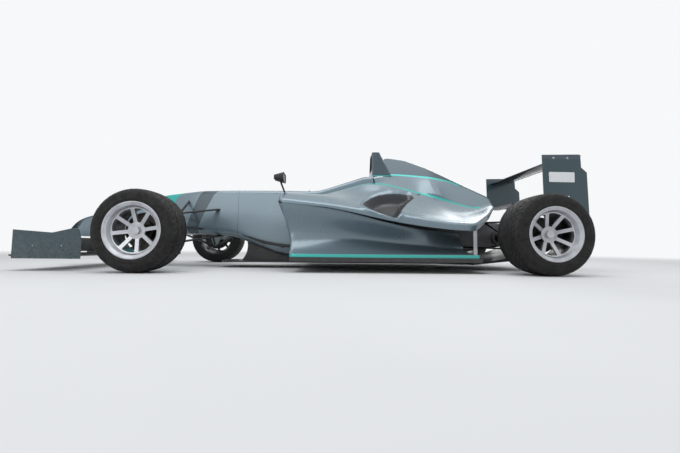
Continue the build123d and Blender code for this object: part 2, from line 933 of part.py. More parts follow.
# Driveshaft about local Z: radius and length of each step, from the hub inwards
rear_carrier_back = joint_inset + carrier_thickness / 2
output_face = rear_track / 2 - 118
with BuildPart() as driveshaft:
    outline = [
        (0, rear_rim_width / 2 - rear_dish_depth - 16),
        (hub_bore_radius - running_clearance, rear_rim_width / 2 - rear_dish_depth - 16),
        (hub_bore_radius - running_clearance, -hub_inset - 8),
        (22, -hub_inset - 8),
        (22, -rear_carrier_back - 4),
        (40, -rear_carrier_back - 12),
        (40, -rear_carrier_back - 52),
        (14, -rear_carrier_back - 84),
        (14, -output_face + 100),
        (40, -output_face + 68),
        (40, -output_face + 12),
        (hub_bore_radius - running_clearance, -output_face + 5),
        (hub_bore_radius - running_clearance, -output_face - output_bore_depth + 2),
        (0, -output_face - output_bore_depth + 2),
    ]
    with BuildSketch(Plane.XZ):
        with BuildLine():
            Polyline(*outline, close=True)
        make_face()
    revolve(axis=Axis.Z)

# Wheels: name, behind, track, radius, tyre, rim
wheel_rows = [
    ("front", 0, front_track, front_tyre_radius, front_tyre, front_rim),
    ("rear", wheelbase, rear_track, rear_tyre_radius, rear_tyre, rear_rim),
]


def placed(piece, plane):
    """The piece moved from its own frame to a plane."""
    with BuildPart() as drawn:
        with Locations(plane.location):
            add(piece)
    return drawn.part


for axle, behind, track, radius, axle_tyre, axle_rim in wheel_rows:
    for hand, side in (("left", -1), ("right", 1)):
        corner = wheel_plane_at(behind, track, radius, side)
        keep(f"tyre_{axle}_{hand}", placed(axle_tyre, corner))
        keep(f"rim_{axle}_{hand}", placed(axle_rim, corner))
        keep(f"disc_{axle}_{hand}", placed(disc, corner))
        if axle == "front":
            carrier = front_carrier.part
            if side > 0:
                carrier = mirror(placed(carrier, wheel_plane_at(behind, track, radius, -side)), about=Plane.XZ)
                keep(f"knuckle_{hand}", carrier)
            else:
                keep(f"knuckle_{hand}", placed(carrier, corner))
            keep(f"caliper_front_{hand}", placed(brake_caliper, corner))
        else:
            keep(f"driveshaft_{hand}", placed(driveshaft.part, corner))

rear_left = wheel_plane_at(wheelbase, rear_track, rear_tyre_radius, -1)
keep("rear_uprights", both_sides(placed(rear_carrier.part, rear_left)))
keep("rear_calipers", both_sides(placed(brake_caliper, rear_left)))

# Wishbones and pushrods, left-hand side. Legs of one axle: where the leg's inner end lies
# (behind, half, height) and which joint it reaches: 1 upper, -1 lower
arm_chord = 30
arm_thickness = 13
rear_carrier_y = rear_track / 2 - joint_inset
pocket_radius = 34
pocket_depth = 26
front_legs = [
    ((-140, 120, 470), 1),
    ((350, 150, 492), 1),
    ((-140, 100, 300), -1),
    ((325, 120, 268), -1),
]
rear_legs = [
    ((2400, 60, 396), 1),
    ((2860, 50, 372), 1),
    ((2380, 60, 190), -1),
    ((2860, 50, 222), -1),
]


def wishbones(legs, behind, joint_y, radius, body):
    """One axle's left-hand wishbones: a joint eye and two legs each, cut back to the body."""
    with BuildPart() as drawn:
        for index, ((leg_behind, half, height), level) in enumerate(legs):
            joint = Vector(at(behind), -joint_y, radius + level * joint_height)
            inner = Vector(at(leg_behind), -half, height)
            add(blade(joint, inner, arm_chord, arm_thickness))
        for level in (-1, 1):
            with BuildSketch(Plane.XY.offset(radius + level * joint_height)):
                with Locations((at(behind), -joint_y)):
                    Circle(eye_radius)
            extrude(amount=eye_height / 2, both=True)
            with BuildSketch(Plane.XY.offset(radius + level * joint_height)):
                with Locations((at(behind), -joint_y)):
                    Circle(joint_pin_radius + running_clearance)
            extrude(amount=eye_height, both=True, mode=Mode.SUBTRACT)
            with BuildSketch(Plane.XY.offset(radius + level * (joint_height - eye_height / 2))):
                with Locations((at(behind), -joint_y)):
                    Circle(pocket_radius)
            extrude(amount=-level * pocket_depth, mode=Mode.SUBTRACT)
        add(body, mode=Mode.SUBTRACT)
    return both_sides(drawn.part)


with BuildPart() as front_body:
    add(tub_envelope.part)
    add(nose_cone.part)
keep("front_wishbones", wishbones(front_legs, 0, carrier_y, front_tyre_radius, front_body.part))
keep("rear_wishbones", wishbones(rear_legs, wheelbase, rear_carrier_y, rear_tyre_radius, gearbox.part))

with BuildPart() as pushrod_pair:
    add(bar((at(10), -590, 192), (at(60), -120, 590), 9))
    add(bar((at(wheelbase - 60), -560, 190), (at(wheelbase - 130), -60, 430), 9))
    add(tub_envelope.part, mode=Mode.SUBTRACT)
    add(gearbox.part, mode=Mode.SUBTRACT)
    add(pieces["front_wishbones"], mode=Mode.SUBTRACT)
    add(pieces["rear_wishbones"], mode=Mode.SUBTRACT)
keep("pushrods", both_sides(pushrod_pair.part))

with BuildPart() as steering_rack:
    with BuildSketch(along(0)):
        with Locations((rack_x, rack_height)):
            Circle(rack_radius)
    extrude(amount=rack_half_length, both=True)
    with BuildSketch(along(0)):
        with Locations((rack_x, rack_height)):
            Circle(tie_rod_radius - 1)
    extrude(amount=carrier_y, both=True)
    for side in (-1, 1):
        with BuildSketch(Plane.XY.offset(rack_height - tie_rod_radius)):
            with Locations((rack_x, side * carrier_y)):
                Circle(tie_rod_eye_radius)
        extrude(amount=2 * tie_rod_radius)
keep("steering_rack", steering_rack.part)

# Rear wing
rear_wing_half = 452
rear_endplate_outline = [
    (2890, 915),
    (3194, 923),
    (3198, 819),
    (3242, 780),
    (3250, 448),
    (3132, 448),
    (3104, 592),
    (2896, 607),
]
with BuildPart() as rear_endplate:
    with BuildSketch(along(rear_wing_half)):
        with BuildLine():
            Polyline(*[(at(behind), height) for behind, height in rear_endplate_outline], close=True)
        make_face()
        fillet(vertices().group_by(Axis.Y)[-1], 12)
    extrude(amount=-endplate_thickness)
keep("rear_endplates", both_sides(rear_endplate.part))

with BuildPart() as rear_wing:
    add(wing_element(2940, 862, 205, 18, 20, 10, rear_wing_half))
    add(wing_element(3120, 872, 100, 9, 8, 28, rear_wing_half))
keep("rear_wing", rear_wing.part)

# Rear crash box with the tube that a jack bar goes through and the towing eye
crash_rear = 3075
crash_middle = 330
jack_tube_behind = 3015
jack_tube_radius = 11
jack_tube_wall = 5
jack_tube_half = 66
tow_eye_radius = 15
tow_eye_behind = crash_rear + tow_eye_radius + 6
with BuildPart() as crash_box:
    loft(
        [
            paired_section(behind, [(half, bottom), (half, top)], 14)
            for behind, half, bottom, top in [(gearbox_rear, 70, 280, 385), (crash_rear, 46, 306, 378)]
        ],
        ruled=True,
    )
    with BuildSketch(along(0)):
        with Locations((at(jack_tube_behind), crash_middle)):
            Circle(jack_tube_radius + jack_tube_wall)
    extrude(amount=jack_tube_half, both=True)
    with BuildSketch(along(0)):
        with Locations((at(jack_tube_behind), crash_middle)):
            Circle(jack_tube_radius)
    extrude(amount=jack_tube_half, both=True, mode=Mode.SUBTRACT)
    with BuildSketch(along(0)):
        with Locations((at(tow_eye_behind), crash_middle)):
            Circle(2 * tow_eye_radius - 4)
        with Locations((at(tow_eye_behind - tow_eye_radius), crash_middle)):
            Rectangle(2 * tow_eye_radius, 3 * tow_eye_radius)
        with Locations((at(tow_eye_behind), crash_middle)):
            Circle(tow_eye_radius, mode=Mode.SUBTRACT)
    extrude(amount=5, both=True)
keep("crash_box", crash_box.part)

with BuildPart() as beam_wing:
    add(wing_element(2905, 596, 200, 16, 14, 4, rear_wing_half))
    for side in (-1, 1):
        with BuildSketch(along(side * 52)):
            with BuildLine():
                Polyline(
                    (at(2860), 350), (at(3000), 350), (at(3060), 588), (at(2930), 584), close=True
                )
            make_face()
        extrude(amount=4, both=True)
    add(gearbox.part, mode=Mode.SUBTRACT)
    add(crash_box.part, mode=Mode.SUBTRACT)
keep("beam_wing", beam_wing.part)

# Struts that hold the floor's rear corners to the upper body's lip
strut_behind = 2286
strut_half = 598
with BuildPart() as floor_strut:
    with BuildSketch(Plane.XY.offset(floor_top)):
        with Locations((at(strut_behind), strut_half)):
            Rectangle(27, 8)
    extrude(amount=230)
    add(engine_cover.part, mode=Mode.SUBTRACT)
    add(pod.part, mode=Mode.SUBTRACT)
keep("floor_struts", both_sides(floor_strut.part))

os.makedirs("parts", exist_ok=True)
for name, piece in pieces.items():
    export_step(piece, f"parts/{name}.step")
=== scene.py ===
import math

import bpy
import numpy as np
from mathutils import Matrix, Vector


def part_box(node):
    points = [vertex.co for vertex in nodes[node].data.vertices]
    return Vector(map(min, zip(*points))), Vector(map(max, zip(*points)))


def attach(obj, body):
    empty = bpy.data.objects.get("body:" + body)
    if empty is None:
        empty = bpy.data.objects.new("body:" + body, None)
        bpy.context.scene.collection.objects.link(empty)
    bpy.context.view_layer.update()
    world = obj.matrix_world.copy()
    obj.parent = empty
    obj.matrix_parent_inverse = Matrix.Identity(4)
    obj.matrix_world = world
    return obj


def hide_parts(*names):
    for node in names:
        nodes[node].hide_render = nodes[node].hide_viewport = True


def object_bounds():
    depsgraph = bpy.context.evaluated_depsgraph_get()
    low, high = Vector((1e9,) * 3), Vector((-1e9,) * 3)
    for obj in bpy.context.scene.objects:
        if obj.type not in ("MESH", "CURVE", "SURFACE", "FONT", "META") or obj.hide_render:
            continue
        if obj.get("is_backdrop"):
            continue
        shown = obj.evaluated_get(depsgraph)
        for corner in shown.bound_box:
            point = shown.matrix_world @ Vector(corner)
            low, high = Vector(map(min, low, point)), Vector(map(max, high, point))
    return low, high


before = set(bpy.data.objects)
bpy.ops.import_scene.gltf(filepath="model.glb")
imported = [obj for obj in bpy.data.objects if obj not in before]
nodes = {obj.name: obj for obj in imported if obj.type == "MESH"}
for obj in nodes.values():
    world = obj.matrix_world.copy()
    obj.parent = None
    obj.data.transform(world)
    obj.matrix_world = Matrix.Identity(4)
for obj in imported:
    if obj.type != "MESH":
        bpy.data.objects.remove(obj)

cad_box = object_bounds()

# Tables give places in millimetres behind the front axle, halves from the centre plane and heights
# from the ground. Blender's own lengths are metres.
FRONT_AXLE = -1.1425
WHEELBASE = 2710
SKIN = 2.2
WELD = 0.00005


def at(behind):
    """Row X in metres of a place so many millimetres behind the front axle."""
    return FRONT_AXLE + behind / 1000


def spot(behind, half, height):
    """A place from the tables, in metres."""
    return at(behind), half / 1000, height / 1000


# Materials


def linear(color):
    """A colour written as it shows, in the linear values that the shader wants."""
    return tuple(c / 12.92 if c <= 0.04045 else ((c + 0.055) / 1.055) ** 2.4 for c in color)


SILVER = linear((0.42, 0.49, 0.53))
SILVER_DEEP = linear((0.35, 0.415, 0.455))
TURQUOISE = linear((0.10, 0.66, 0.63))
SLATE = linear((0.18, 0.25, 0.29))
PETROL = linear((0.07, 0.21, 0.245))
WHITE = linear((0.86, 0.88, 0.89))
BLACK = linear((0.11, 0.11, 0.12))
DUST = linear((0.45, 0.44, 0.42))
MIX_FIRST, MIX_SECOND, MIX_RESULT = 6, 7, 2
FAR = 9.0
GAP_HALF = 0.0012


def put(tree, socket, value):
    """Link a node's output to a socket, or set the socket to a number or colour."""
    if hasattr(value, "links"):
        tree.links.new(value, socket)
    elif isinstance(value, (tuple, list)) and len(value) == 3 and len(socket.default_value) == 4:
        socket.default_value = (*value, 1)
    else:
        socket.default_value = value


def add_node(tree, kind, inputs=None, **settings):
    """A new node with its settings made and its inputs linked or set."""
    node = tree.nodes.new("ShaderNode" + kind)
    for key, value in settings.items():
        setattr(node, key, value)
    for key, value in (inputs or {}).items():
        put(tree, node.inputs[key], value)
    return node


class Finish:
    """A material whose nodes are added one by one."""

    def __init__(self, name, metallic=0.0, coat=0.0, coat_roughness=0.06, specular=0.5, sheen=0.0):
        self.material = bpy.data.materials.new(name)
        self.material.use_nodes = True
        self.tree = self.material.node_tree
        self.tree.nodes.clear()
        inputs = {
            "Metallic": metallic, "Coat Weight": coat, "Coat Roughness": coat_roughness,
            "Specular IOR Level": specular, "Sheen Weight": sheen,
        }
        self.shader = self.node("BsdfPrincipled", inputs)
        self.out = self.node("OutputMaterial", {"Surface": self.shader.outputs["BSDF"]})
        self.place = self.node("TexCoord").outputs["Object"]

    def node(self, kind, inputs=None, **settings):
        return add_node(self.tree, kind, inputs, **settings)

    def set(self, name, value):
        """Link or set one of the shader's inputs."""
        put(self.tree, self.shader.inputs[name], value)

    def math(self, operation, *values, clamp=False):
        inputs = dict(enumerate(values))
        return self.node("Math", inputs, operation=operation, use_clamp=clamp).outputs[0]

    def noise(self, scale, detail=3.0, stretch=None, roughness=0.5):
        """Noise, with the object's coordinates stretched along each axis where asked."""
        place = self.place
        if stretch:
            place = self.node("Mapping", {"Vector": place, "Scale": stretch}).outputs[0]
        inputs = {"Vector": place, "Scale": scale, "Detail": detail, "Roughness": roughness}
        return self.node("TexNoise", inputs).outputs["Fac"]

    def wave(self, scale, direction="X", profile="SIN"):
        inputs = {"Vector": self.place, "Scale": scale}
        node = self.node("TexWave", inputs, bands_direction=direction, wave_profile=profile)
        return node.outputs["Fac"]

    def twill(self):
        """The raised pattern of woven carbon cloth."""
        return self.math("MULTIPLY", self.wave(130, "X", "TRI"), self.wave(130, "DIAGONAL", "TRI"))

    def span(self, value, low, high, to_low=0.0, to_high=1.0):
        """A value mapped from one range to another and held at its ends."""
        inputs = {"Value": value, "From Min": low, "From Max": high, "To Min": to_low, "To Max": to_high}
        return self.node("MapRange", inputs).outputs["Result"]

    def axis(self, name):
        return self.node("SeparateXYZ", {0: self.place}).outputs[name]

    def attribute(self, name):
        return self.node("Attribute", attribute_name=name).outputs["Fac"]

    def mix(self, factor, first, second):
        inputs = {"Factor": factor, MIX_FIRST: first, MIX_SECOND: second}
        return self.node("Mix", inputs, data_type="RGBA").outputs[MIX_RESULT]

    def inside(self, value, low, high, soft=0.0012):
        """1 where the value lies between two limits, with a soft edge."""
        rise = self.span(value, low - soft, low + soft)
        fall = self.span(value, high - soft, high + soft, 1.0, 0.0)
        return self.math("MULTIPLY", rise, fall)

    def banded(self, base, bands):
        """A base under bands, each an axis or attribute, its two limits, a shade and a softness."""
        for source, low, high, shade, soft in bands:
            value = self.axis(source) if source in "XYZ" else self.attribute(source)
            base = self.mix(self.inside(value, low, high, soft), base, shade)
        return base

    def color(self, value):
        self.set("Base Color", value)

    def rough(self, value):
        self.set("Roughness", value)

    def uneven(self, scale, detail, low, high):
        """Roughness that wanders between two values."""
        self.rough(self.span(self.noise(scale, detail), 0.3, 0.7, low, high))

    def bump(self, height, distance, strength):
        node = self.node("Bump", {"Height": height, "Distance": distance, "Strength": strength})
        self.set("Normal", node.outputs["Normal"])


def paint_layers(finish, base, low_dust=0.35):
    """Clouding, road dust and fine orange peel over a painted colour."""
    cloud = finish.noise(3.2, 4)
    shaded = finish.mix(0.35, base, SILVER_DEEP)
    colored = finish.mix(finish.span(cloud, 0.35, 0.65, 0.0, 0.22), base, shaded)
    speck = finish.span(finish.noise(55, 6, roughness=0.7), 0.4, 0.62)
    dust = finish.math("MULTIPLY", finish.span(finish.axis("Z"), 0.06, 0.34, low_dust, 0.02), speck)
    finish.color(finish.mix(dust, colored, DUST))
    polish = finish.span(cloud, 0.3, 0.7, 0.24, 0.34)
    finish.rough(finish.math("ADD", polish, finish.math("MULTIPLY", dust, 0.4)))
    peel = finish.math("MULTIPLY", finish.noise(420, 2), 0.4)
    flake = finish.noise(2600, 1)
    finish.bump(finish.math("ADD", peel, flake), 0.00006, 0.5)


def panel_gap(source, place):
    """The thin dark line of a panel gap, as a band."""
    return source, place - GAP_HALF, place + GAP_HALF, BLACK, 0.0004


def painted(name, metallic, coat, coat_roughness, base, bands=(), low_dust=0.35):
    """Paint of one shade with bands of other shades on it."""
    finish = Finish(name, metallic, coat, coat_roughness)
    paint_layers(finish, finish.banded(base, bands), low_dust)
    return finish.material


def cover_paint():
    """Silver below and slate above the upper stripe, two stripes, a pale strip, and the vent's dark
    lining deepened towards near black as painted shade.
    """
    metallic, coat = 0.38, 0.4
    finish = Finish("cover_paint", metallic, coat, 0.2)
    along, upper, vent = finish.axis("X"), finish.attribute("upper"), finish.attribute("vent")

    def between(stripe, front, rear):
        return finish.math("MULTIPLY", stripe, finish.inside(along, at(front), at(rear)))

    upper_stripe = between(finish.inside(upper, -0.010, 0.010), 1640, 2400)
    shoulder_stripe = between(finish.inside(finish.attribute("shoulder"), -0.012, 0.012), 1225, 2540)
    base = finish.mix(finish.span(upper, -0.001, 0.001, 1.0, 0.0), SILVER, SLATE)
    base = finish.mix(between(finish.inside(upper, 0.014, 0.045), 1602, 1692), base, WHITE)
    base = finish.mix(finish.math("MAXIMUM", upper_stripe, shoulder_stripe), base, TURQUOISE)
    # The vent's dark lining, then painted shade taking its deeper inside to near black.
    base = finish.banded(base, [
        ("vent", 0.004, FAR, linear((0.10, 0.11, 0.13)), 0.002),
        ("vent", 0.04, FAR, linear((0.03, 0.035, 0.05)), 0.03),
        panel_gap("gap", 0.0),
    ])
    paint_layers(finish, base)
    outside = finish.span(vent, 0.002, 0.02, 1.0, 0.0)
    finish.set("Metallic", finish.math("MULTIPLY", outside, metallic))
    finish.set("Coat Weight", finish.math("MULTIPLY", outside, coat))
    return finish.material


def wing_paint():
    """Carbon wing whose upper side is painted turquoise."""
    finish = Finish("wing_paint", 0.0, 0.4, 0.15)
    normal = finish.node("NewGeometry").outputs["Normal"]
    upward = finish.node("SeparateXYZ", {0: normal}).outputs["Z"]
    weave = finish.twill()
    dark, light = linear((0.07, 0.07, 0.075)), linear((0.14, 0.14, 0.15))
    bare = finish.mix(finish.span(weave, 0.1, 0.7), dark, light)
    finish.color(finish.mix(finish.span(upward, 0.1, 0.2), bare, TURQUOISE))
    finish.uneven(9, 3, 0.3, 0.5)
    finish.bump(weave, 0.0001, 0.5)
    return finish.material


def rim_paint():
    """Silver rim, darkened towards near black inboard of its spoke face, with random darker patches."""
    darkened_half, clean_half = 0.735, 0.785
    finish = Finish("rim_silver", 0.75, 0.3, 0.15)
    outboard = finish.math("ABSOLUTE", finish.axis("Y"))
    # Inboard of the spoke face the barrel is darkened to near black; random patches add to it.
    inboard_darkening = finish.span(outboard, darkened_half, clean_half, 0.85, 0.0)
    patches = finish.span(finish.noise(16, 5), 0.45, 0.7, 0.0, 0.25)
    dust = finish.math("ADD", inboard_darkening, patches, clamp=True)
    finish.color(finish.mix(dust, linear((0.72, 0.73, 0.75)), linear((0.13, 0.125, 0.12))))
    finish.uneven(50, 4, 0.28, 0.44)
    finish.bump(finish.noise(500, 3), 0.0001, 0.4)
    return finish.material


def carbon():
    """Woven carbon cloth under satin lacquer."""
    finish = Finish("woven_carbon", 0.0, 0.35, 0.2)
    weave = finish.twill()
    dark, light = linear((0.085, 0.085, 0.09)), linear((0.17, 0.17, 0.18))
    tone = finish.mix(finish.span(weave, 0.1, 0.7), dark, light)
    dust = finish.span(finish.noise(24, 5), 0.45, 0.75, 0.0, 0.35)
    finish.color(finish.mix(dust, tone, linear((0.27, 0.26, 0.25))))
    finish.uneven(9, 3, 0.36, 0.55)
    finish.bump(weave, 0.0002, 0.6)
    return finish.material


def metal(name, shade, roughness, brushed=None, metallic=1.0, pits=0.0):
    """Metal with grime and a grain, brushed along an axis or pitted where asked."""
    finish = Finish(name, metallic)
    grain = finish.noise(60, 5, brushed)
    grime = finish.span(finish.noise(7, 5, roughness=0.65), 0.42, 0.7, 0.0, 0.5)
    darker = tuple(0.55 * c for c in shade)
    grained = finish.mix(finish.span(grain, 0.3, 0.7, 0.0, 0.3), shade, darker)
    finish.color(finish.mix(grime, grained, darker))
    polish = finish.span(grain, 0.3, 0.7, roughness - 0.06, roughness + 0.08)
    finish.rough(finish.math("ADD", polish, finish.math("MULTIPLY", grime, 0.25)))
    finish.bump(finish.noise(380, 3) if pits else grain, 0.0002 + pits, 0.5)
    return finish.material


def rubber(name, shade, tread):
    """Tyre rubber with road dust, and the tread's grooves near black: free of dust, and darkened further
    as painted shade.
    """
    finish = Finish(name, specular=0.35)
    dusty = finish.span(finish.noise(14, 6, roughness=0.7), 0.4, 0.72, 0.0, 0.75 if tread else 0.4)
    worn = finish.mix(dusty, shade, linear((0.21, 0.205, 0.20)))
    # Painted shade: the grooves go near black, darker than the rubber's own colour.
    finish.color(finish.mix(finish.attribute("groove"), worn, linear((0.02, 0.02, 0.022))))
    finish.uneven(40, 4, 0.62, 0.86)
    finish.bump(finish.noise(300 if tread else 900, 5), 0.0012 if tread else 0.0002, 0.6)
    return finish.material


def plastic(name, shade):
    """Moulded plastic with a fine grain and paler worn patches."""
    finish = Finish(name)
    worn = tuple(c * 1.9 + 0.01 for c in shade)
    finish.color(finish.mix(finish.span(finish.noise(12, 4), 0.4, 0.7, 0.0, 0.3), shade, worn))
    finish.uneven(90, 4, 0.42, 0.6)
    finish.bump(finish.noise(1400, 3), 0.00012, 0.5)
    return finish.material


def cloth():
    """Plain woven cloth of the headrest pad."""
    finish = Finish("pad_cloth", sheen=0.35)
    weave = finish.math("MULTIPLY", finish.wave(420, "Y"), finish.wave(420, "Z"))
    dark, light = linear((0.10, 0.10, 0.11)), linear((0.21, 0.21, 0.22))
    finish.color(finish.mix(finish.span(weave, 0.1, 0.8), dark, light))
    finish.uneven(20, 4, 0.75, 0.92)
    finish.bump(weave, 0.0004, 0.7)
    return finish.material


def core_mesh():
    """Radiator core: fine fins between flat tubes."""
    finish = Finish("radiator_core", 0.8)
    fins = finish.wave(160, "Y", "TRI")
    tubes = finish.wave(28, "Z")
    dark, light = linear((0.16, 0.16, 0.17)), linear((0.62, 0.63, 0.64))
    finish.color(finish.mix(finish.math("MULTIPLY", fins, tubes), dark, light))
    finish.uneven(30, 4, 0.35, 0.6)
    finish.bump(finish.math("ADD", fins, tubes), 0.0015, 0.8)
    return finish.material


# A slanting slate band, a turquoise patch and two panel gaps
TUB_BANDS = [
    ("slate_band", 0.0, 1.0, SLATE, 0.01), ("teal_band", 0.0, 1.0, TURQUOISE, 0.01),
    panel_gap("X", at(-152)), panel_gap("X", at(478)),
]
# A line along the pod's foot
POD_BANDS = [("Z", 0.0, 0.1295, TURQUOISE, 0.0006)]
# A band along the endplate's top
REAR_PLATE_BANDS = [("Z", 0.885, FAR, SLATE, 0.0006)]
# A line round the intake's foot, and its black front lip
AIRBOX_BANDS = [("Z", 0.792, 0.806, TURQUOISE, 0.0006), ("X", -FAR, at(1596), BLACK, 0.0006)]
MATERIALS = {
    "tub": painted("tub_paint", 0.38, 0.55, 0.12, SILVER, TUB_BANDS),
    "cover": cover_paint(),
    "pod": painted("pod_paint", 0.38, 0.55, 0.12, SILVER, POD_BANDS, 0.2),
    "silver": painted("silver_paint", 0.45, 0.7, 0.06, SILVER),
    "petrol": painted("petrol_paint", 0.2, 0.7, 0.06, PETROL),
    "rear_plate": painted("rear_plate_paint", 0.2, 0.6, 0.12, PETROL, REAR_PLATE_BANDS),
    "airbox": painted("airbox_paint", 0.3, 0.5, 0.12, SLATE, AIRBOX_BANDS, 0.1),
    "wing": wing_paint(),
    "white": painted("white_paint", 0.0, 0.7, 0.06, linear((0.86, 0.87, 0.88))),
    "carbon": carbon(),
    "rim": rim_paint(),
    "alloy": metal("machined_alloy", linear((0.72, 0.73, 0.74)), 0.32, (1, 18, 1)),
    "cast": metal("cast_alloy", linear((0.46, 0.46, 0.47)), 0.55, pits=0.0004),
    "iron": metal("brake_iron", linear((0.30, 0.29, 0.28)), 0.42, (1, 26, 1)),
    "steel": metal("black_steel", linear((0.22, 0.22, 0.23)), 0.42, metallic=0.6),
    "bolt": metal("bright_bolt", linear((0.70, 0.70, 0.72)), 0.3),
    "tread": rubber("tyre_tread", linear((0.10, 0.10, 0.105)), True),
    "wall": rubber("tyre_wall", linear((0.055, 0.055, 0.06)), False),
    "trim": plastic("trim_black", linear((0.10, 0.10, 0.105))),
    "cloth": cloth(),
    "core": core_mesh(),
}

# The material of each node, by its whole name or else by its first word
NODE_MATERIALS = {
    "nose_cone": "silver", "sidepods": "silver", "engine_cover": "silver", "front_endplates": "petrol",
    "rear_endplates": "rear_plate", "radiators": "core", "engine": "cast", "gearbox": "cast",
    "airbox": "airbox", "caliper_front_left": "trim", "caliper_front_right": "trim",
    "rear_calipers": "trim", "rear_uprights": "alloy", "front_wishbones": "steel",
    "rear_wishbones": "steel", "pushrods": "steel", "steering_rack": "steel", "steering_wheel": "trim",
    "mirrors": "trim", "headrest": "cloth", "floor_struts": "alloy", "rear_wing": "wing",
}
FIRST_WORD_MATERIALS = {
    "tyre": "wall", "rim": "rim", "disc": "iron", "driveshaft": "steel", "knuckle": "alloy",
}
for node_name, node in nodes.items():
    by_word = FIRST_WORD_MATERIALS.get(node_name.split("_")[0], "carbon")
    node.data.materials.clear()
    node.data.materials.append(MATERIALS[NODE_MATERIALS.get(node_name, by_word)])


# Mesh helpers


def add_object(name, data):
    piece = bpy.data.objects.new(name, data)
    bpy.context.scene.collection.objects.link(piece)
    return piece


def mesh_piece(
    name, verts, faces, materials, body="chassis", slot="body_silver", angle=35, floats=None, replaces=(),
):
    """A smooth shaded mesh, sharp past an angle, that rides on a body and may replace CAD nodes."""
    mesh = bpy.data.meshes.new(name)
    mesh.from_pydata([tuple(v) for v in verts], [], [tuple(f) for f in faces])
    mesh.validate()
    mesh.shade_smooth()
    mesh.set_sharp_from_angle(angle=math.radians(angle))
    for key, values in (floats or {}).items():
        layer = mesh.attributes.new(key, "FLOAT", "POINT")
        layer.data.foreach_set("value", np.asarray(values, np.float32))
    for key in materials:
        mesh.materials.append(MATERIALS[key])
    piece = add_object(name, mesh)
    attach(piece, body)
    if replaces:
        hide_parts(*replaces)
    return piece


def both_hands(name, verts, faces, materials, floats=None, **options):
    """A right-hand mesh joined with its mirror image on the left."""
    verts = [tuple(v) for v in verts]
    count = len(verts)
    mirrored = [(x, -y, z) for x, y, z in verts]
    far_faces = [[i + count for i in reversed(f)] for f in faces]
    doubled = {key: list(values) * 2 for key, values in (floats or {}).items()}
    return mesh_piece(name, verts + mirrored, faces + far_faces, materials, floats=doubled, **options)


def weld(piece, distance=WELD):
    modifier = piece.modifiers.new("weld", "WELD")
    modifier.merge_threshold = distance


def grid_faces(rows, columns, close_rows=False, close_columns=False, flip=False):
    """The quads between rows of points that were laid down one row after another."""
    faces = []
    for r in range(rows if close_rows else rows - 1):
        ahead = (r + 1) % rows
        for c in range(columns if close_columns else columns - 1):
            beside = (c + 1) % columns
            quad = [r * columns + c, r * columns + beside, ahead * columns + beside, ahead * columns + c]
            faces.append(quad[::-1] if flip else quad)
    return faces


def smooth_rows(rows, step, window):
    """A table's rows, filled in between and rounded off along the car."""
    rows = np.array(rows, float)
    places = np.arange(rows[0, 0], rows[-1, 0] + step * 0.5, step)
    reach = max(1, int(window / step / 2))
    kernel = np.ones(2 * reach + 1) / (2 * reach + 1)
    columns = [places]
    for k in range(1, rows.shape[1]):
        values = np.interp(places, rows[:, 0], rows[:, k])
        for _ in range(2):
            head = 2 * values[0] - values[reach:0:-1]
            tail = 2 * values[-1] - values[-2:-reach - 2:-1]
            values = np.convolve(np.concatenate([head, values, tail]), kernel, "valid")
        columns.append(values)
    return np.stack(columns, 1)


def rounded(points, radii, count):
    """A line of corners with each inner corner rounded, and where each corner's middle falls."""
    most = 0.46
    points = [np.array(p, float) for p in points]
    out = [points[0]]
    middles = {0: 0}
    for index in range(1, len(points) - 1):
        before, corner, after = points[index - 1], points[index], points[index + 1]
        ahead, back = after - corner, before - corner
        reach_back = min(radii[index], most * np.linalg.norm(back))
        reach_ahead = min(radii[index], most * np.linalg.norm(ahead))
        start = corner + back / (np.linalg.norm(back) + 1e-9) * reach_back
        end = corner + ahead / (np.linalg.norm(ahead) + 1e-9) * reach_ahead
        middles[index] = len(out) + count // 2
        for t in np.linspace(0, 1, count + 1):
            out.append((1 - t) ** 2 * start + 2 * t * (1 - t) * corner + t * t * end)
    out.append(points[-1])
    return np.array(out), middles


def outward(line, amount):
    """A section line moved outwards by an amount, the line running with its outside on the left."""
    along = np.gradient(line, axis=0)
    length = np.linalg.norm(along, axis=1, keepdims=True) + 1e-9
    normal = np.stack([-along[:, 1], along[:, 0]], 1) / length
    return line + normal * amount


def arc_length(line):
    """How far each point of a line lies along it."""
    return np.concatenate([[0], np.cumsum(np.linalg.norm(np.diff(line, axis=0), axis=1))])


def polygon_distance(points, polygon):
    """Signed distance to a polygon, positive inside."""
    polygon = np.array(polygon, float)
    best = np.full(len(points), 1e9)
    inside = np.zeros(len(points), bool)
    for a, b in zip(polygon, np.roll(polygon, -1, axis=0)):
        edge = b - a
        t = np.clip(((points - a) @ edge) / (edge @ edge), 0, 1)
        best = np.minimum(best, np.linalg.norm(points - (a + t[:, None] * edge), axis=1))
        crosses = (a[1] > points[:, 1]) != (b[1] > points[:, 1])
        slope = np.where(crosses, (points[:, 1] - a[1]) / (b[1] - a[1] + 1e-12) * edge[0] + a[0], 0)
        inside ^= crosses & (points[:, 0] < slope)
    return np.where(inside, best, -best)


def smoothstep(value, low, high):
    t = np.clip((value - low) / (high - low), 0, 1)
    return t * t * (3 - 2 * t)


def hermite(start, end, leave, arrive, count):
    """Points along a curve between two places with a direction at each."""
    start, end, leave, arrive = (np.array(p, float) for p in (start, end, leave, arrive))
    t = np.linspace(0, 1, count)[:, None]
    return (
        (2 * t**3 - 3 * t**2 + 1) * start + (t**3 - 2 * t**2 + t) * leave
        + (3 * t**2 - 2 * t**3) * end + (t**3 - t**2) * arrive
    )


# Nose and monocoque skin

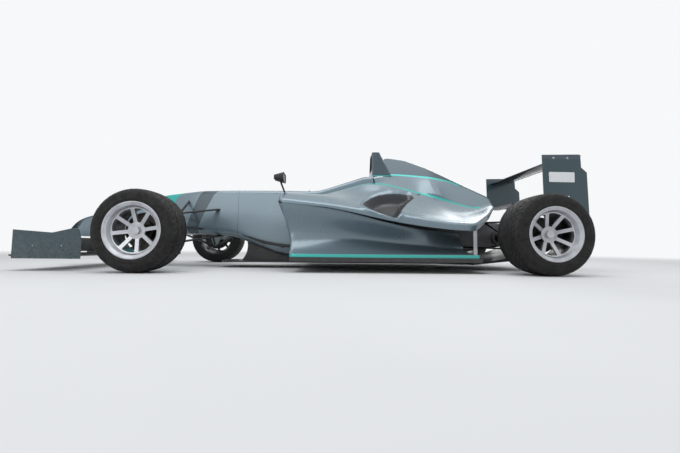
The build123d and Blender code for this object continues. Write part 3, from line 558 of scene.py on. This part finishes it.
# behind, half_top, half_side, side_height, half_bottom, bottom, top
HULL_ROWS = [
    (-962, 58, 69, 273, 64, 256, 290),
    (-925, 84, 96, 301, 92, 250, 352),
    (-850, 100, 112, 323, 108, 248, 398),
    (-620, 114, 128, 359, 126, 254, 464),
    (-380, 126, 142, 400, 142, 264, 536),
    (-150, 138, 152, 330, 120, 274, 600),
    (160, 185, 200, 310, 158, 278, 637),
    (430, 206, 222, 288, 178, 264, 641),
    (560, 217, 232, 250, 185, 214, 641),
    (700, 226, 246, 208, 195, 158, 641),
    (850, 236, 258, 184, 205, 108, 641),
    (1130, 240, 266, 176, 215, 108, 640),
    (1600, 200, 266, 176, 215, 108, 790),
]
NOSE_TIP = -965
# The closed tip of the nose: behind, and the share of the first section that is left
TIP_RINGS = [(-965.0, 0.02), (-965.0, 0.6), (-964.5, 0.86)]
COCKPIT_FRONT, COCKPIT_REAR = 1005, 1560
COCKPIT_NARROW, COCKPIT_WIDE, COCKPIT_CORNER = 150, 185, 60
RIM_COLUMN = 5
# Edges of the painted bands from the top down: behind, height
SLATE_FRONT = [(183, 639), (104, 554), (58, 470), (45, 371), (57, 285)]
SLATE_REAR = [(307, 640), (203, 539), (165, 455), (152, 372), (143, 286)]
TEAL_FRONT = [(-160, 660), (-205, 605), (-245, 571), (-262, 554), (-330, 280)]
TEAL_REAR = [(19, 639), (-21, 605), (-61, 571), (-77, 554), (-150, 280)]

smooth_hull = smooth_rows(HULL_ROWS, 10, 70)
hull_stations = sorted(set(smooth_hull[:, 0]) | {float(COCKPIT_FRONT), float(COCKPIT_REAR)})


def hull_at(behind):
    """The hull table's row, filled in at a place."""
    return [behind] + [np.interp(behind, smooth_hull[:, 0], smooth_hull[:, k]) for k in range(1, 7)]


hull = np.array([hull_at(station) for station in hull_stations])


def hull_top(behind):
    return np.interp(behind, hull[:, 0], hull[:, 6])


def hull_half(behind, height):
    """The monocoque's half width at a height."""
    row = [np.interp(behind, hull[:, 0], hull[:, k]) for k in range(1, 7)]
    half_top, half_side, side_height, half_bottom, bottom, top = row
    return float(np.interp(height, [bottom, side_height, top], [half_bottom, half_side, half_top]))


def cockpit_half(behind):
    """Half the cockpit opening's width, with rounded ends."""
    share = (behind - COCKPIT_FRONT) / (COCKPIT_REAR - COCKPIT_FRONT)
    half = COCKPIT_NARROW + (COCKPIT_WIDE - COCKPIT_NARROW) * share
    near = min(behind - COCKPIT_FRONT, COCKPIT_REAR - behind)
    if near < COCKPIT_CORNER:
        fallen = COCKPIT_CORNER - max(near, 0)
        half -= COCKPIT_CORNER - math.sqrt(max(0, COCKPIT_CORNER**2 - fallen**2))
    return half


def band(points, front, rear):
    """0 to 1 across a slanting band whose edges are given as (behind, height)."""
    edges = []
    for edge in (front, rear):
        behind, height = np.array(edge[::-1], float).T
        edges.append(np.interp(points[:, 1], height, behind))
    return (points[:, 0] - edges[0]) / (edges[1] - edges[0])


def hull_line(row):
    """One section of the skin, from the middle of its top round to the middle of its bottom."""
    behind, half_top, half_side, side_height, half_bottom, bottom, top = row
    rim = cockpit_half(behind) if COCKPIT_FRONT <= behind <= COCKPIT_REAR else 110
    crown = 5 if behind < 1000 else 0
    blunt = min(1.0, max(0.25, (behind - NOSE_TIP) / 140))
    corners = [
        (0, top + crown), (rim, top + crown * 0.4), (half_top, top), (half_side, side_height),
        (half_bottom, bottom), (0, bottom),
    ]
    line, _ = rounded(corners, [0, 2, 36 * blunt, 36 * blunt, 30 * blunt, 0], 8)
    line = outward(line, SKIN)
    line[0, 0] = line[-1, 0] = 0
    return line


def hull_skin():
    """The painted skin over the nose cone and monocoque, open at the cockpit."""
    sections = [(row[0], hull_line(row)) for row in hull]
    first = sections[0][1]
    center = np.array([0, (first[0, 1] + first[-1, 1]) / 2])
    sections = [(behind, center + (first - center) * share) for behind, share in TIP_RINGS] + sections
    columns = len(first)
    verts = []
    for behind, line in sections:
        for half, height in line:
            verts.append(spot(behind, half, height))
    faces = []
    for r in range(len(sections) - 1):
        over_cockpit = sections[r][0] > COCKPIT_FRONT - 0.1 and sections[r + 1][0] < COCKPIT_REAR + 0.1
        for c in range(RIM_COLUMN if over_cockpit else 0, columns - 1):
            here, ahead = r * columns + c, (r + 1) * columns + c
            faces.append([here + 1, ahead + 1, ahead, here])
    points = np.array([((x - FRONT_AXLE) * 1000, z * 1000) for x, y, z in verts])
    floats = {
        "slate_band": band(points, SLATE_FRONT, SLATE_REAR),
        "teal_band": band(points, TEAL_FRONT, TEAL_REAR),
    }
    weld(both_hands("hull_skin", verts, faces, ["tub"], floats, angle=50, replaces=["nose_cone"]))


def cockpit_edge_roll():
    """Padded roll round the cockpit's edge."""
    radius, sides, rise = 0.006, 10, 3
    right = []
    for behind in hull_stations:
        if COCKPIT_FRONT <= behind <= COCKPIT_REAR:
            right.append(Vector(spot(behind, cockpit_half(behind), hull_top(behind) + rise)))
    path = right + [Vector((x, -y, z)) for x, y, z in reversed(right)]
    verts = []
    for index, point in enumerate(path):
        along = (path[(index + 1) % len(path)] - path[index - 1]).normalized()
        side = along.cross(Vector((0, 0, 1))).normalized()
        up = side.cross(along).normalized()
        for k in range(sides):
            turn = 2 * math.pi * k / sides
            verts.append(point + side * math.cos(turn) * radius + up * math.sin(turn) * radius)
    faces = grid_faces(len(path), sides, close_rows=True, close_columns=True)
    mesh_piece("cockpit_edge_roll", verts, faces, ["trim"], slot="trim_black", angle=60)


hull_skin()
cockpit_edge_roll()

# Upper body

# behind, then half and height of spine, upper stripe, shoulder stripe, valley, crest and lip, then the
# height of the lip's lower edge
UPPER_ROWS = [
    (878, 60, 542, 120, 562, 200, 577, 300, 584, 540, 585, 650, 512, 484),
    (1210, 120, 590, 170, 596, 292, 610, 390, 584, 540, 560, 652, 476, 456),
    (1380, 120, 640, 180, 655, 302, 657, 395, 594, 552, 515, 653, 455, 426),
    (1530, 110, 700, 180, 715, 309, 700, 400, 600, 560, 478, 654, 432, 393),
    (1610, 124, 796, 132, 794, 303, 699, 404, 585, 560, 462, 655, 423, 376),
    (1668, 60, 900, 108, 806, 294, 695, 408, 575, 560, 454, 655, 417, 363),
    (1700, 24, 990, 100, 815, 290, 691, 410, 570, 560, 450, 656, 414, 358),
    (1900, 22, 968, 84, 814, 258, 648, 400, 520, 560, 420, 648, 385, 328),
    (2110, 20, 896, 60, 806, 226, 601, 380, 480, 540, 390, 634, 356, 307),
    (2290, 18, 816, 42, 780, 197, 556, 330, 452, 500, 385, 612, 352, 300),
    (2480, 16, 728, 26, 715, 168, 516, 240, 478, 330, 462, 408, 446, 404),
    (2680, 12, 640, 24, 622, 60, 580, 80, 566, 94, 556, 106, 548, 532),
]
# Which corner of a section each of these is
UPPER_STRIPE, SHOULDER_STRIPE, CREST, LIP_BOTTOM = 2, 3, 5, 7
CORNER_RADII = [0, 14, 12, 26, 90, 70, 26, 5, 0]
UPPER_FRONT = 878
# Behind this place the cover closes over the engine, and ahead of it the cover meets the monocoque
SPINE_FRONT = 1600
# The side vent's edge on the surface: behind, half, height
VENT_OUTLINE = [
    (1462, 553, 490), (1501, 530, 522), (1548, 501, 553), (1613, 467, 581), (1676, 455, 593),
    (1772, 436, 599), (1869, 416, 602), (1968, 400, 604), (1879, 468, 552), (1810, 535, 500),
    (1763, 580, 450), (1735, 606, 404), (1717, 623, 382), (1660, 624, 394), (1591, 616, 419),
    (1521, 608, 451), (1472, 602, 479),
]
VENT_DEPTH = 0.055
VENT_RIDGE = 0.007
RIDGE_REAR = 1760
BLISTER_MIDDLE, BLISTER_LENGTH, BLISTER_WIDTH = 2145, 110, 42
# A place well beside the car from which the vent's edge is a flat outline: behind, half, height
SIGHT = (1245, 2908, 177)


def sighted(points):
    """Places (behind, half, height) as they line up from beside the car, at the scale of half 500."""
    points = np.asarray(points, float)
    reach = (SIGHT[1] - 500) / (SIGHT[1] - points[:, 1])
    return np.stack([(points[:, 0] - SIGHT[0]) * reach, (points[:, 2] - SIGHT[2]) * reach], 1)


def upper_line(row):
    """One section of the cover from its middle out to its lip, with its corners' places in the line."""
    behind, lip_bottom = row[0], row[-1]
    corners = [(row[k], row[k + 1]) for k in range(1, 13, 2)]
    if behind < SPINE_FRONT:
        shoulder_half, shoulder_height = corners[SHOULDER_STRIPE - 1]
        inner_height = min(shoulder_height - 4, hull_top(behind) - 46)
        inner_half = hull_half(behind, inner_height) - 3
        if shoulder_half < inner_half + 16:
            corners[SHOULDER_STRIPE - 1] = (inner_half + 16, inner_height - 1)
        corners[0] = (inner_half - 2, inner_height)
        corners[1] = (inner_half, inner_height)
        start = (inner_half - 4, inner_height)
    else:
        start = (0, corners[0][1] + 3)
    lip_half = corners[-1][0]
    lip_edge = [(lip_half + 1, lip_bottom), (lip_half - 26, lip_bottom + 7)]
    line, middles = rounded([start, *corners, *lip_edge], CORNER_RADII, 8)
    nearness = max(0.0, 1 - (behind - UPPER_FRONT) / 42)
    line = outward(line, 2.0 - 16 * nearness**2)
    if behind >= SPINE_FRONT:
        line[0, 0] = 0
    return behind, line, middles


upper_lines = [upper_line(row) for row in smooth_rows(UPPER_ROWS, 10, 60)]


def upper_body():
    """The engine cover and pod tops in one skin, with stripes, vents and blisters."""
    verts = []
    marks = {"upper": [], "shoulder": [], "gap": []}
    for behind, line, middles in upper_lines:
        length = arc_length(line)
        has_stripe = behind >= SPINE_FRONT
        has_gap = 1450 > behind > 900
        for (half, height), distance in zip(line, length):
            verts.append(spot(behind, half, height))
            past_stripe = (distance - length[middles[UPPER_STRIPE]]) / 1000
            marks["upper"].append(past_stripe if has_stripe else 1.0)
            marks["shoulder"].append((distance - length[middles[SHOULDER_STRIPE]]) / 1000)
            marks["gap"].append((distance - length[middles[CREST]] + 40) / 1000 if has_gap else 1.0)
    verts = np.array(verts)
    behind = (verts[:, 0] - FRONT_AXLE) * 1000
    surface = np.stack([behind, verts[:, 1] * 1000, verts[:, 2] * 1000], 1)
    vent = polygon_distance(sighted(surface), sighted(VENT_OUTLINE)) / 1000
    vent = np.where(verts[:, 1] > 0.2, vent, -1.0)
    push = VENT_DEPTH * smoothstep(vent, 0.002, 0.05)
    ridge = VENT_RIDGE * np.exp(-(((vent + 0.012) / 0.010) ** 2)) * (behind < RIDGE_REAR)
    verts[:, 1] += ridge - push * 0.8
    verts[:, 2] += ridge * 0.6 - push * 0.7
    beside_stripe = (np.array(marks["shoulder"]) + 0.055) * 1000 / BLISTER_WIDTH
    blister = np.exp(-(((behind - BLISTER_MIDDLE) / BLISTER_LENGTH) ** 2 + beside_stripe**2))
    verts[:, 1] += 0.040 * blister
    verts[:, 2] += 0.016 * blister
    faces = grid_faces(len(upper_lines), len(upper_lines[0][1]), flip=True)
    piece = both_hands(
        "upper_body", verts, faces, ["cover", "carbon"], {**marks, "vent": vent},
        angle=48, replaces=["engine_cover"],
    )
    weld(piece)
    wall = piece.modifiers.new("wall", "SOLIDIFY")
    wall.thickness = 0.005
    wall.offset = -1
    wall.material_offset = 1
    wall.material_offset_rim = 0


upper_body()

# Lower pods

# behind, foot, waist, waist_height, seam, seam_height
LOWER_ROWS = [
    (860, 700, 590, 290, 648, 484),
    (1100, 700, 578, 275, 645, 466),
    (1320, 700, 540, 262, 630, 440),
    (1560, 700, 470, 230, 545, 385),
    (1850, 690, 400, 200, 430, 332),
    (2290, 660, 380, 170, 290, 290),
]
FLOOR_TOP, FOOT_TOP = 108, 128
# The pod's front edge: height, behind
POD_FRONT = [(90, 968), (236, 957), (357, 925), (485, 878), (585, 880), (700, 892)]
FRONT_ROUND, FRONT_ROUND_LENGTH = 13, 26
REAR_CAP_HALF = 250
# The cooling duct's section: half, height
DUCT_CORNERS = [(412, 200), (525, 200), (540, 290), (590, 520), (300, 530), (300, 200), (412, 200)]
DUCT_RADIUS = 22
DUCT_MIDDLE = np.array([430.0, 370.0])
DUCT_REAR = 1228
MOUTH_LIP = 9
MOUTH_SIDES = 160


def pod_front_at(height):
    """How far behind the front axle the pod begins at a height."""
    return float(np.interp(height, [p[0] for p in POD_FRONT], [p[1] for p in POD_FRONT])) - 2


def pod_line(row):
    """One waisted section of the lower pod, from its foot up to its seam."""
    _, foot, waist, waist_height, seam, seam_height = row
    flare_width = foot - waist
    drop = seam_height - waist_height
    rise = waist_height - FOOT_TOP
    flare = hermite(
        (foot, FOOT_TOP), (waist, waist_height),
        (-flare_width * 1.3, rise * 0.25), (-flare_width * 0.1, rise * 1.2), 20,
    )
    swell = hermite(
        (waist, waist_height), (seam, seam_height),
        (-flare_width * 0.1, drop * 1.1), (0, drop * 0.8), 18,
    )
    return np.vstack([[(foot, FLOOR_TOP), (foot, FOOT_TOP - 1)], flare, swell[1:]])


pod_lines = [(row[0], pod_line(row)) for row in smooth_rows(LOWER_ROWS, 12, 260)]


def pod_outside(line):
    """A pod section moved out to its painted surface."""
    return outward(line[::-1], SKIN)[::-1]


def pod_skins():
    """The pods' flanks, rounded off at their fronts and closed at their rear ends."""
    verts = []
    for behind, line in pod_lines:
        for (half, height), (_, plain_height) in zip(pod_outside(line), line):
            front = pod_front_at(plain_height)
            place = max(behind, front)
            nearness = max(0.0, FRONT_ROUND_LENGTH - (place - front)) / FRONT_ROUND_LENGTH
            half -= FRONT_ROUND * nearness**2
            verts.append(spot(place, half, max(height, FLOOR_TOP)))
    columns = len(pod_lines[0][1])
    faces = grid_faces(len(pod_lines), columns, flip=True)
    count = len(verts)
    rear = verts[-1][0]
    seam_height = LOWER_ROWS[-1][-1]
    verts += [(rear, REAR_CAP_HALF / 1000, height / 1000) for height in (seam_height, FLOOR_TOP)]
    faces.append([count + 1, count] + list(range(count - 1, count - columns - 1, -1)))
    both_hands("pod_skins", verts, faces, ["pod"], angle=40, replaces=["sidepods"])


def ray_reach(polygon, direction):
    """How far a closed outline lies from the duct's middle in one direction."""
    best = 0.0
    for a, b in zip(polygon, np.roll(polygon, -1, axis=0)):
        edge = b - a
        cross = direction[0] * edge[1] - direction[1] * edge[0]
        if abs(cross) < 1e-9:
            continue
        offset = a - DUCT_MIDDLE
        reach = (offset[0] * edge[1] - offset[1] * edge[0]) / cross
        share = (offset[0] * direction[1] - offset[1] * direction[0]) / cross
        if reach > 0 and -1e-6 <= share <= 1 + 1e-6:
            best = max(best, reach)
    return best


def mouth_outline():
    """The outer edge of the pod's front, along its flank, its top and the monocoque."""
    first = pod_outside(pod_lines[0][1])
    flank = [(half - FRONT_ROUND, max(height, FLOOR_TOP)) for half, height in first]
    _, line, middles = upper_lines[0]
    brow = [tuple(p) for p in line[: middles[LIP_BOTTOM] + 1][::-1] if p[0] > 245]
    return np.array([(262, FLOOR_TOP)] + flank + brow + [(244, 560), (262, 176)], float)


def pod_mouths():
    """The pods' fronts round their cooling ducts, and the ducts back to the radiators."""
    outline = mouth_outline()
    duct, _ = rounded(DUCT_CORNERS, [0] + [DUCT_RADIUS] * 5 + [0], 5)
    mouth_verts, duct_verts = [], []
    for k in range(MOUTH_SIDES):
        turn = 2 * math.pi * k / MOUTH_SIDES
        direction = np.array([math.cos(turn), math.sin(turn)])
        duct_reach = ray_reach(duct[:-1], direction)
        outer = DUCT_MIDDLE + direction * ray_reach(outline, direction)
        lip = DUCT_MIDDLE + direction * (duct_reach + MOUTH_LIP)
        inner = DUCT_MIDDLE + direction * duct_reach
        for (half, height), back in ((outer, 0), (lip, 0), (inner, MOUTH_LIP)):
            mouth_verts.append(spot(pod_front_at(height) + back, half, height))
        for place in (pod_front_at(inner[1]) + MOUTH_LIP, DUCT_REAR):
            duct_verts.append(spot(place, *inner))
    both_hands("pod_mouths", mouth_verts, grid_faces(MOUTH_SIDES, 3, close_rows=True), ["silver"])
    duct_faces = grid_faces(MOUTH_SIDES, 2, close_rows=True)
    both_hands("inlet_ducts", duct_verts, duct_faces, ["carbon"], slot="carbon_black")


pod_skins()
pod_mouths()

# Headrest, plates and screws


def signed_power(value, exponent):
    return math.copysign(abs(value) ** exponent, value)


def headrest_pad():
    """A crowned pad with one sewn seam down its middle and one across its upper part."""
    rows, columns, squareness, seam_width = 48, 72, 0.45, 0.004
    low, high = (np.array(p, float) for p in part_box("headrest"))
    middle, half = (low + high) / 2, (high - low) / 2 - 0.001
    verts = []
    for r in range(rows):
        tilt = math.pi * (r / (rows - 1) - 0.5)
        level = signed_power(math.cos(tilt), squareness)
        for c in range(columns):
            turn = 2 * math.pi * c / columns
            direction = np.array([
                signed_power(math.cos(turn), squareness) * level,
                signed_power(math.sin(turn), squareness) * level,
                signed_power(math.sin(tilt), squareness),
            ])
            seam = 0.035 * math.exp(-((direction[1] * half[1] / seam_width) ** 2))
            seam += 0.05 * math.exp(-(((direction[2] - 0.35) * half[2] / seam_width) ** 2))
            crown = 0.955 + 0.045 * math.cos(direction[1] * math.pi / 2)
            verts.append(tuple(middle + half * direction * (crown - seam)))
    piece = mesh_piece(
        "headrest_pad", verts, grid_faces(rows, columns, close_columns=True), ["cloth"],
        slot="pad_fabric", angle=70, replaces=["headrest"],
    )
    weld(piece, 0.0002)


# A dome headed screw on its washer: share of the head's radius, height above the plate in metres
SCREW_PROFILE = [
    (1.5, 0.0), (1.45, 0.0012), (1.0, 0.0014), (0.96, 0.003), (0.8, 0.0044), (0.45, 0.0052),
    (0.4, 0.0036), (0.0, 0.0036),
]


def screw_heads(name, places, plate_half, radius):
    """Screws on the outer faces of an upright plate on each side of the car."""
    sides = 20
    verts, faces = [], []
    for x, z in places:
        for hand in (-1, 1):
            base = len(verts)
            for share, height in SCREW_PROFILE:
                for k in range(sides):
                    turn = 2 * math.pi * k / sides
                    across, up = share * radius * math.cos(turn), share * radius * math.sin(turn)
                    verts.append((x + across, hand * (plate_half + height), z + up))
            for face in grid_faces(len(SCREW_PROFILE), sides, close_columns=True, flip=hand < 0):
                faces.append([base + i for i in face])
    mesh_piece(name, verts, faces, ["bolt"], slot="bare_aluminium", angle=30)


def front_plate_screws():
    """Two screws on each front endplate."""
    plate_low, plate_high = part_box("front_endplates")
    height = plate_low[2] + 0.42 * (plate_high[2] - plate_low[2])
    places = [(plate_low[0] + share * (plate_high[0] - plate_low[0]), height) for share in (0.3, 0.72)]
    screw_heads("front_plate_screws", places, plate_high[1] - 0.0045, 0.006)


def rear_plate_pieces():
    """Two screws and a bare white panel with rounded corners on each rear endplate."""
    plate_low, plate_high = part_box("rear_endplates")
    places = [(plate_low[0] + reach, plate_high[2] - 0.032) for reach in (0.09, 0.20)]
    screw_heads("rear_plate_screws", places, plate_high[1] - 0.002, 0.009)
    left, right = plate_low[0] + 0.049, plate_low[0] + 0.252
    bottom, top = plate_high[2] - 0.222, plate_high[2] - 0.143
    start = ((left + right) / 2, bottom)
    corners = [start, (right, bottom), (right, top), (left, top), (left, bottom), start]
    outline = rounded(corners, [0] + [0.006] * 4 + [0], 5)[0][:-1]
    count = len(outline)
    verts = [(x, y, z) for y in (plate_high[1] - 0.002, plate_high[1] + 0.0012) for x, z in outline]
    faces = grid_faces(2, count, close_columns=True)
    faces.append(list(range(2 * count - 1, count - 1, -1)))
    both_hands("blank_panels", verts, faces, ["white"])


headrest_pad()
front_plate_screws()
rear_plate_pieces()

# Tyres

# axle, behind, half_track, radius, width, rim_width
WHEELS = [
    ("front", 0, 0.753, 0.270, 0.215, 0.206),
    ("rear", WHEELBASE, 0.725, 0.276, 0.262, 0.254),
]
BEAD_RADIUS = 0.1655
TREAD_STEPS = 330
TREAD_BLOCKS = 44
WALL_POINTS = 9
FULL_GROOVE = 0.003


def tread_depth(turn, profile, outer, width):
    """How deep the diagonal, round and shoulder grooves cut each point of the tyre's profile."""
    radius, out = profile[:, 0], profile[:, 1]
    along = turn * outer
    pitch = 2 * math.pi * outer / TREAD_BLOCKS
    lean = np.where(out > 0, 1.0, -1.0) * 1.15
    phase = ((along + lean * out) / pitch) % 1.0
    diagonal = (np.abs(phase - 0.5) < 0.085) & (np.abs(out) < width * 0.5) & (np.abs(out) > width * 0.09)
    cut = np.where(diagonal, 0.0042, 0)
    for center, half_groove in ((-0.27, 0.0045), (0.27, 0.0045), (0, 0.004)):
        cut = np.maximum(cut, np.where(np.abs(out - center * width) < half_groove, 0.0045, 0))
    notch_phase = (along / (pitch * 0.5)) % 1.0
    shoulder = (np.abs(notch_phase - 0.5) < 0.1) & (np.abs(out) > width * 0.41)
    cut = np.maximum(cut, np.where(shoulder, 0.0022, 0))
    return cut * smoothstep(radius, outer - 0.014, outer - 0.006)


def tyre_profile(outer, width, rim_width):
    """From the inner bead round the tread to the outer bead, as (radius, out)."""
    half, rim_half, bead = width / 2, rim_width / 2, BEAD_RADIUS
    side = [
        (bead, rim_half - 0.010), (bead + 0.010, rim_half - 0.0015), (bead + 0.022, rim_half - 0.0005),
        (bead + 0.030, half - 0.004), (bead + 0.034, half - 0.0015), (bead + 0.037, half - 0.003),
        (bead + 0.055, half - 0.0005), (bead + 0.068, half - 0.002), (outer - 0.026, half - 0.006),
        (outer - 0.015, half - 0.013), (outer - 0.008, half - 0.021),
    ]
    tread_half, crown_drop, crown_power = half - 0.029, 0.0045, 2.4
    crown = []
    for out in np.linspace(tread_half, -tread_half, 52):
        crown.append((outer - crown_drop * (abs(out) / tread_half) ** crown_power, out))
    inner_side = [(r, -o) for r, o in side]
    return np.array(inner_side + [(r, -o) for r, o in crown] + side[::-1])


def tread_tyre(axle, hand, side, behind, half_track, radius, width, rim_width):
    """A treaded tyre, turned about its wheel's axle."""
    profile = tyre_profile(radius, width, rim_width)
    x, y, z = at(behind), side * half_track, radius
    verts, grooves = [], []
    for k in range(TREAD_STEPS):
        turn = 2 * math.pi * k / TREAD_STEPS
        cut = tread_depth(turn, profile, radius, width)
        # Groove depth share, which the tyre material turns into painted shade in the grooves.
        grooves += list(np.clip(cut / FULL_GROOVE, 0, 1))
        for r, out in zip(profile[:, 0] - cut, profile[:, 1]):
            verts.append((x + r * math.cos(turn), y + side * out, z + r * math.sin(turn)))
    faces = grid_faces(TREAD_STEPS, len(profile), close_rows=True, flip=side > 0)
    piece = mesh_piece(
        f"tread_tyre_{axle}_{hand}", verts, faces, ["wall", "tread"], f"wheel_{axle}_{hand}",
        "tyre_rubber", 38, {"groove": grooves}, [f"tyre_{axle}_{hand}"],
    )
    per_step = len(profile) - 1
    place = np.arange(len(piece.data.polygons)) % per_step
    on_tread = (place >= WALL_POINTS) & (place < per_step - WALL_POINTS)
    piece.data.polygons.foreach_set("material_index", on_tread.astype(np.int32))


for axle, *sizes in WHEELS:
    for hand, side in (("left", -1), ("right", 1)):
        tread_tyre(axle, hand, side, *sizes)

# Lights, floor and camera

BACKGROUND = (0.93, 0.94, 0.95, 1)


def seen_directly(tree):
    """1 for rays that show the background to the camera, by itself or in gloss or glass."""
    path = add_node(tree, "LightPath")
    seen = path.outputs["Is Camera Ray"]
    for kind in ("Is Glossy Ray", "Is Transmission Ray"):
        inputs = {0: seen, 1: path.outputs[kind]}
        seen = add_node(tree, "Math", inputs, operation="MAXIMUM").outputs[0]
    return seen


def studio_world():
    """Plain light from all round, before a pale background."""
    world = bpy.data.worlds.new("studio")
    bpy.context.scene.world = world
    world.use_nodes = True
    tree = world.node_tree
    tree.nodes.clear()
    around = add_node(tree, "Background", {"Color": (0.96, 0.98, 1.0, 1), "Strength": 0.62})
    pale = add_node(tree, "Background", {"Color": BACKGROUND, "Strength": 1.0})
    inputs = {0: seen_directly(tree), 1: around.outputs[0], 2: pale.outputs[0]}
    add_node(tree, "OutputWorld", {0: add_node(tree, "MixShader", inputs).outputs[0]})


def soft_light(name, place, target, size, energy):
    lamp = bpy.data.lights.new(name, "AREA")
    lamp.shape = "RECTANGLE"
    lamp.size, lamp.size_y = size
    lamp.energy = energy
    piece = add_object(name, lamp)
    piece.location = place
    piece.rotation_euler = (Vector(target) - Vector(place)).to_track_quat("-Z", "Y").to_euler()


def floor_paint():
    """Pale floor that fades into the background away from the car."""
    fade_start, fade_end = 3.0, 11.0
    finish = Finish("studio_floor", specular=0.2)
    finish.color(finish.mix(finish.noise(2.0, 3), (0.60, 0.61, 0.62), (0.64, 0.65, 0.66)))
    finish.rough(0.8)
    away = finish.node("VectorMath", {0: finish.place}, operation="LENGTH").outputs["Value"]
    inputs = {"Value": away, "From Min": fade_start, "From Max": fade_end}
    fade = finish.node("MapRange", inputs, interpolation_type="SMOOTHSTEP").outputs["Result"]
    glow = finish.node("Emission", {"Color": BACKGROUND})
    share = finish.math("MULTIPLY", fade, seen_directly(finish.tree))
    shaders = {0: share, 1: finish.shader.outputs["BSDF"], 2: glow.outputs[0]}
    put(finish.tree, finish.out.inputs["Surface"], finish.node("MixShader", shaders).outputs[0])
    return finish.material


def studio_floor():
    reach = 40
    mesh = bpy.data.meshes.new("studio_floor")
    corners = [(-reach, -reach, 0), (reach, -reach, 0), (reach, reach, 0), (-reach, reach, 0)]
    mesh.from_pydata(corners, [], [(0, 1, 2, 3)])
    mesh.materials.append(floor_paint())
    floor_piece = add_object("studio_floor", mesh)
    floor_piece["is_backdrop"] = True


# The photograph is 680 pixels wide, and the camera's focal length is 324 of them
PHOTO_WIDTH, FOCAL_PIXELS, SENSOR_WIDTH = 680, 324.0, 36
CAMERA_PLACE = (0.1027, -2.9079, 0.1774)
CAMERA_YAW, CAMERA_PITCH, CAMERA_ROLL = -0.028, 0.0635, 0.0105


def photo_camera():
    """The camera low beside the car, turned by its yaw, pitch and roll in radians."""
    data = bpy.data.cameras.new("camera")
    data.sensor_width = SENSOR_WIDTH
    data.lens = FOCAL_PIXELS / PHOTO_WIDTH * SENSOR_WIDTH
    data.clip_start = 0.05
    data.dof.use_dof = False
    camera = add_object("camera", data)
    upward = Vector((0, 0, 1))
    ahead = Vector((-math.sin(CAMERA_YAW), math.cos(CAMERA_YAW), 0))
    right = ahead.cross(upward)
    look = ahead * math.cos(CAMERA_PITCH) + upward * math.sin(CAMERA_PITCH)
    raised = upward * math.cos(CAMERA_PITCH) - ahead * math.sin(CAMERA_PITCH)
    camera_right = right * math.cos(CAMERA_ROLL) + raised * math.sin(CAMERA_ROLL)
    camera_up = raised * math.cos(CAMERA_ROLL) - right * math.sin(CAMERA_ROLL)
    turn = Matrix((camera_right, camera_up, -look)).transposed()
    camera.matrix_world = Matrix.Translation(CAMERA_PLACE) @ turn.to_4x4()
    bpy.context.scene.camera = camera


studio_world()
soft_light("top_light", (0.2, -1.2, 4.2), (0.1, 0.1, 0.3), (6.0, 3.0), 150)
soft_light("side_light", (-2.6, -5.0, 2.6), (0.0, -0.4, 0.4), (4.2, 2.4), 50)
soft_light("back_light", (2.5, 4.0, 3.0), (0.0, 0.0, 0.5), (3.0, 1.6), 70)
studio_floor()
photo_camera()
bpy.context.scene.view_settings.view_transform = "Standard"

low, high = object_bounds()
sizes = {
    "cad": [list(map(float, cad_box[0])), list(map(float, cad_box[1]))],
    "visual": [list(map(float, low)), list(map(float, high))],
}
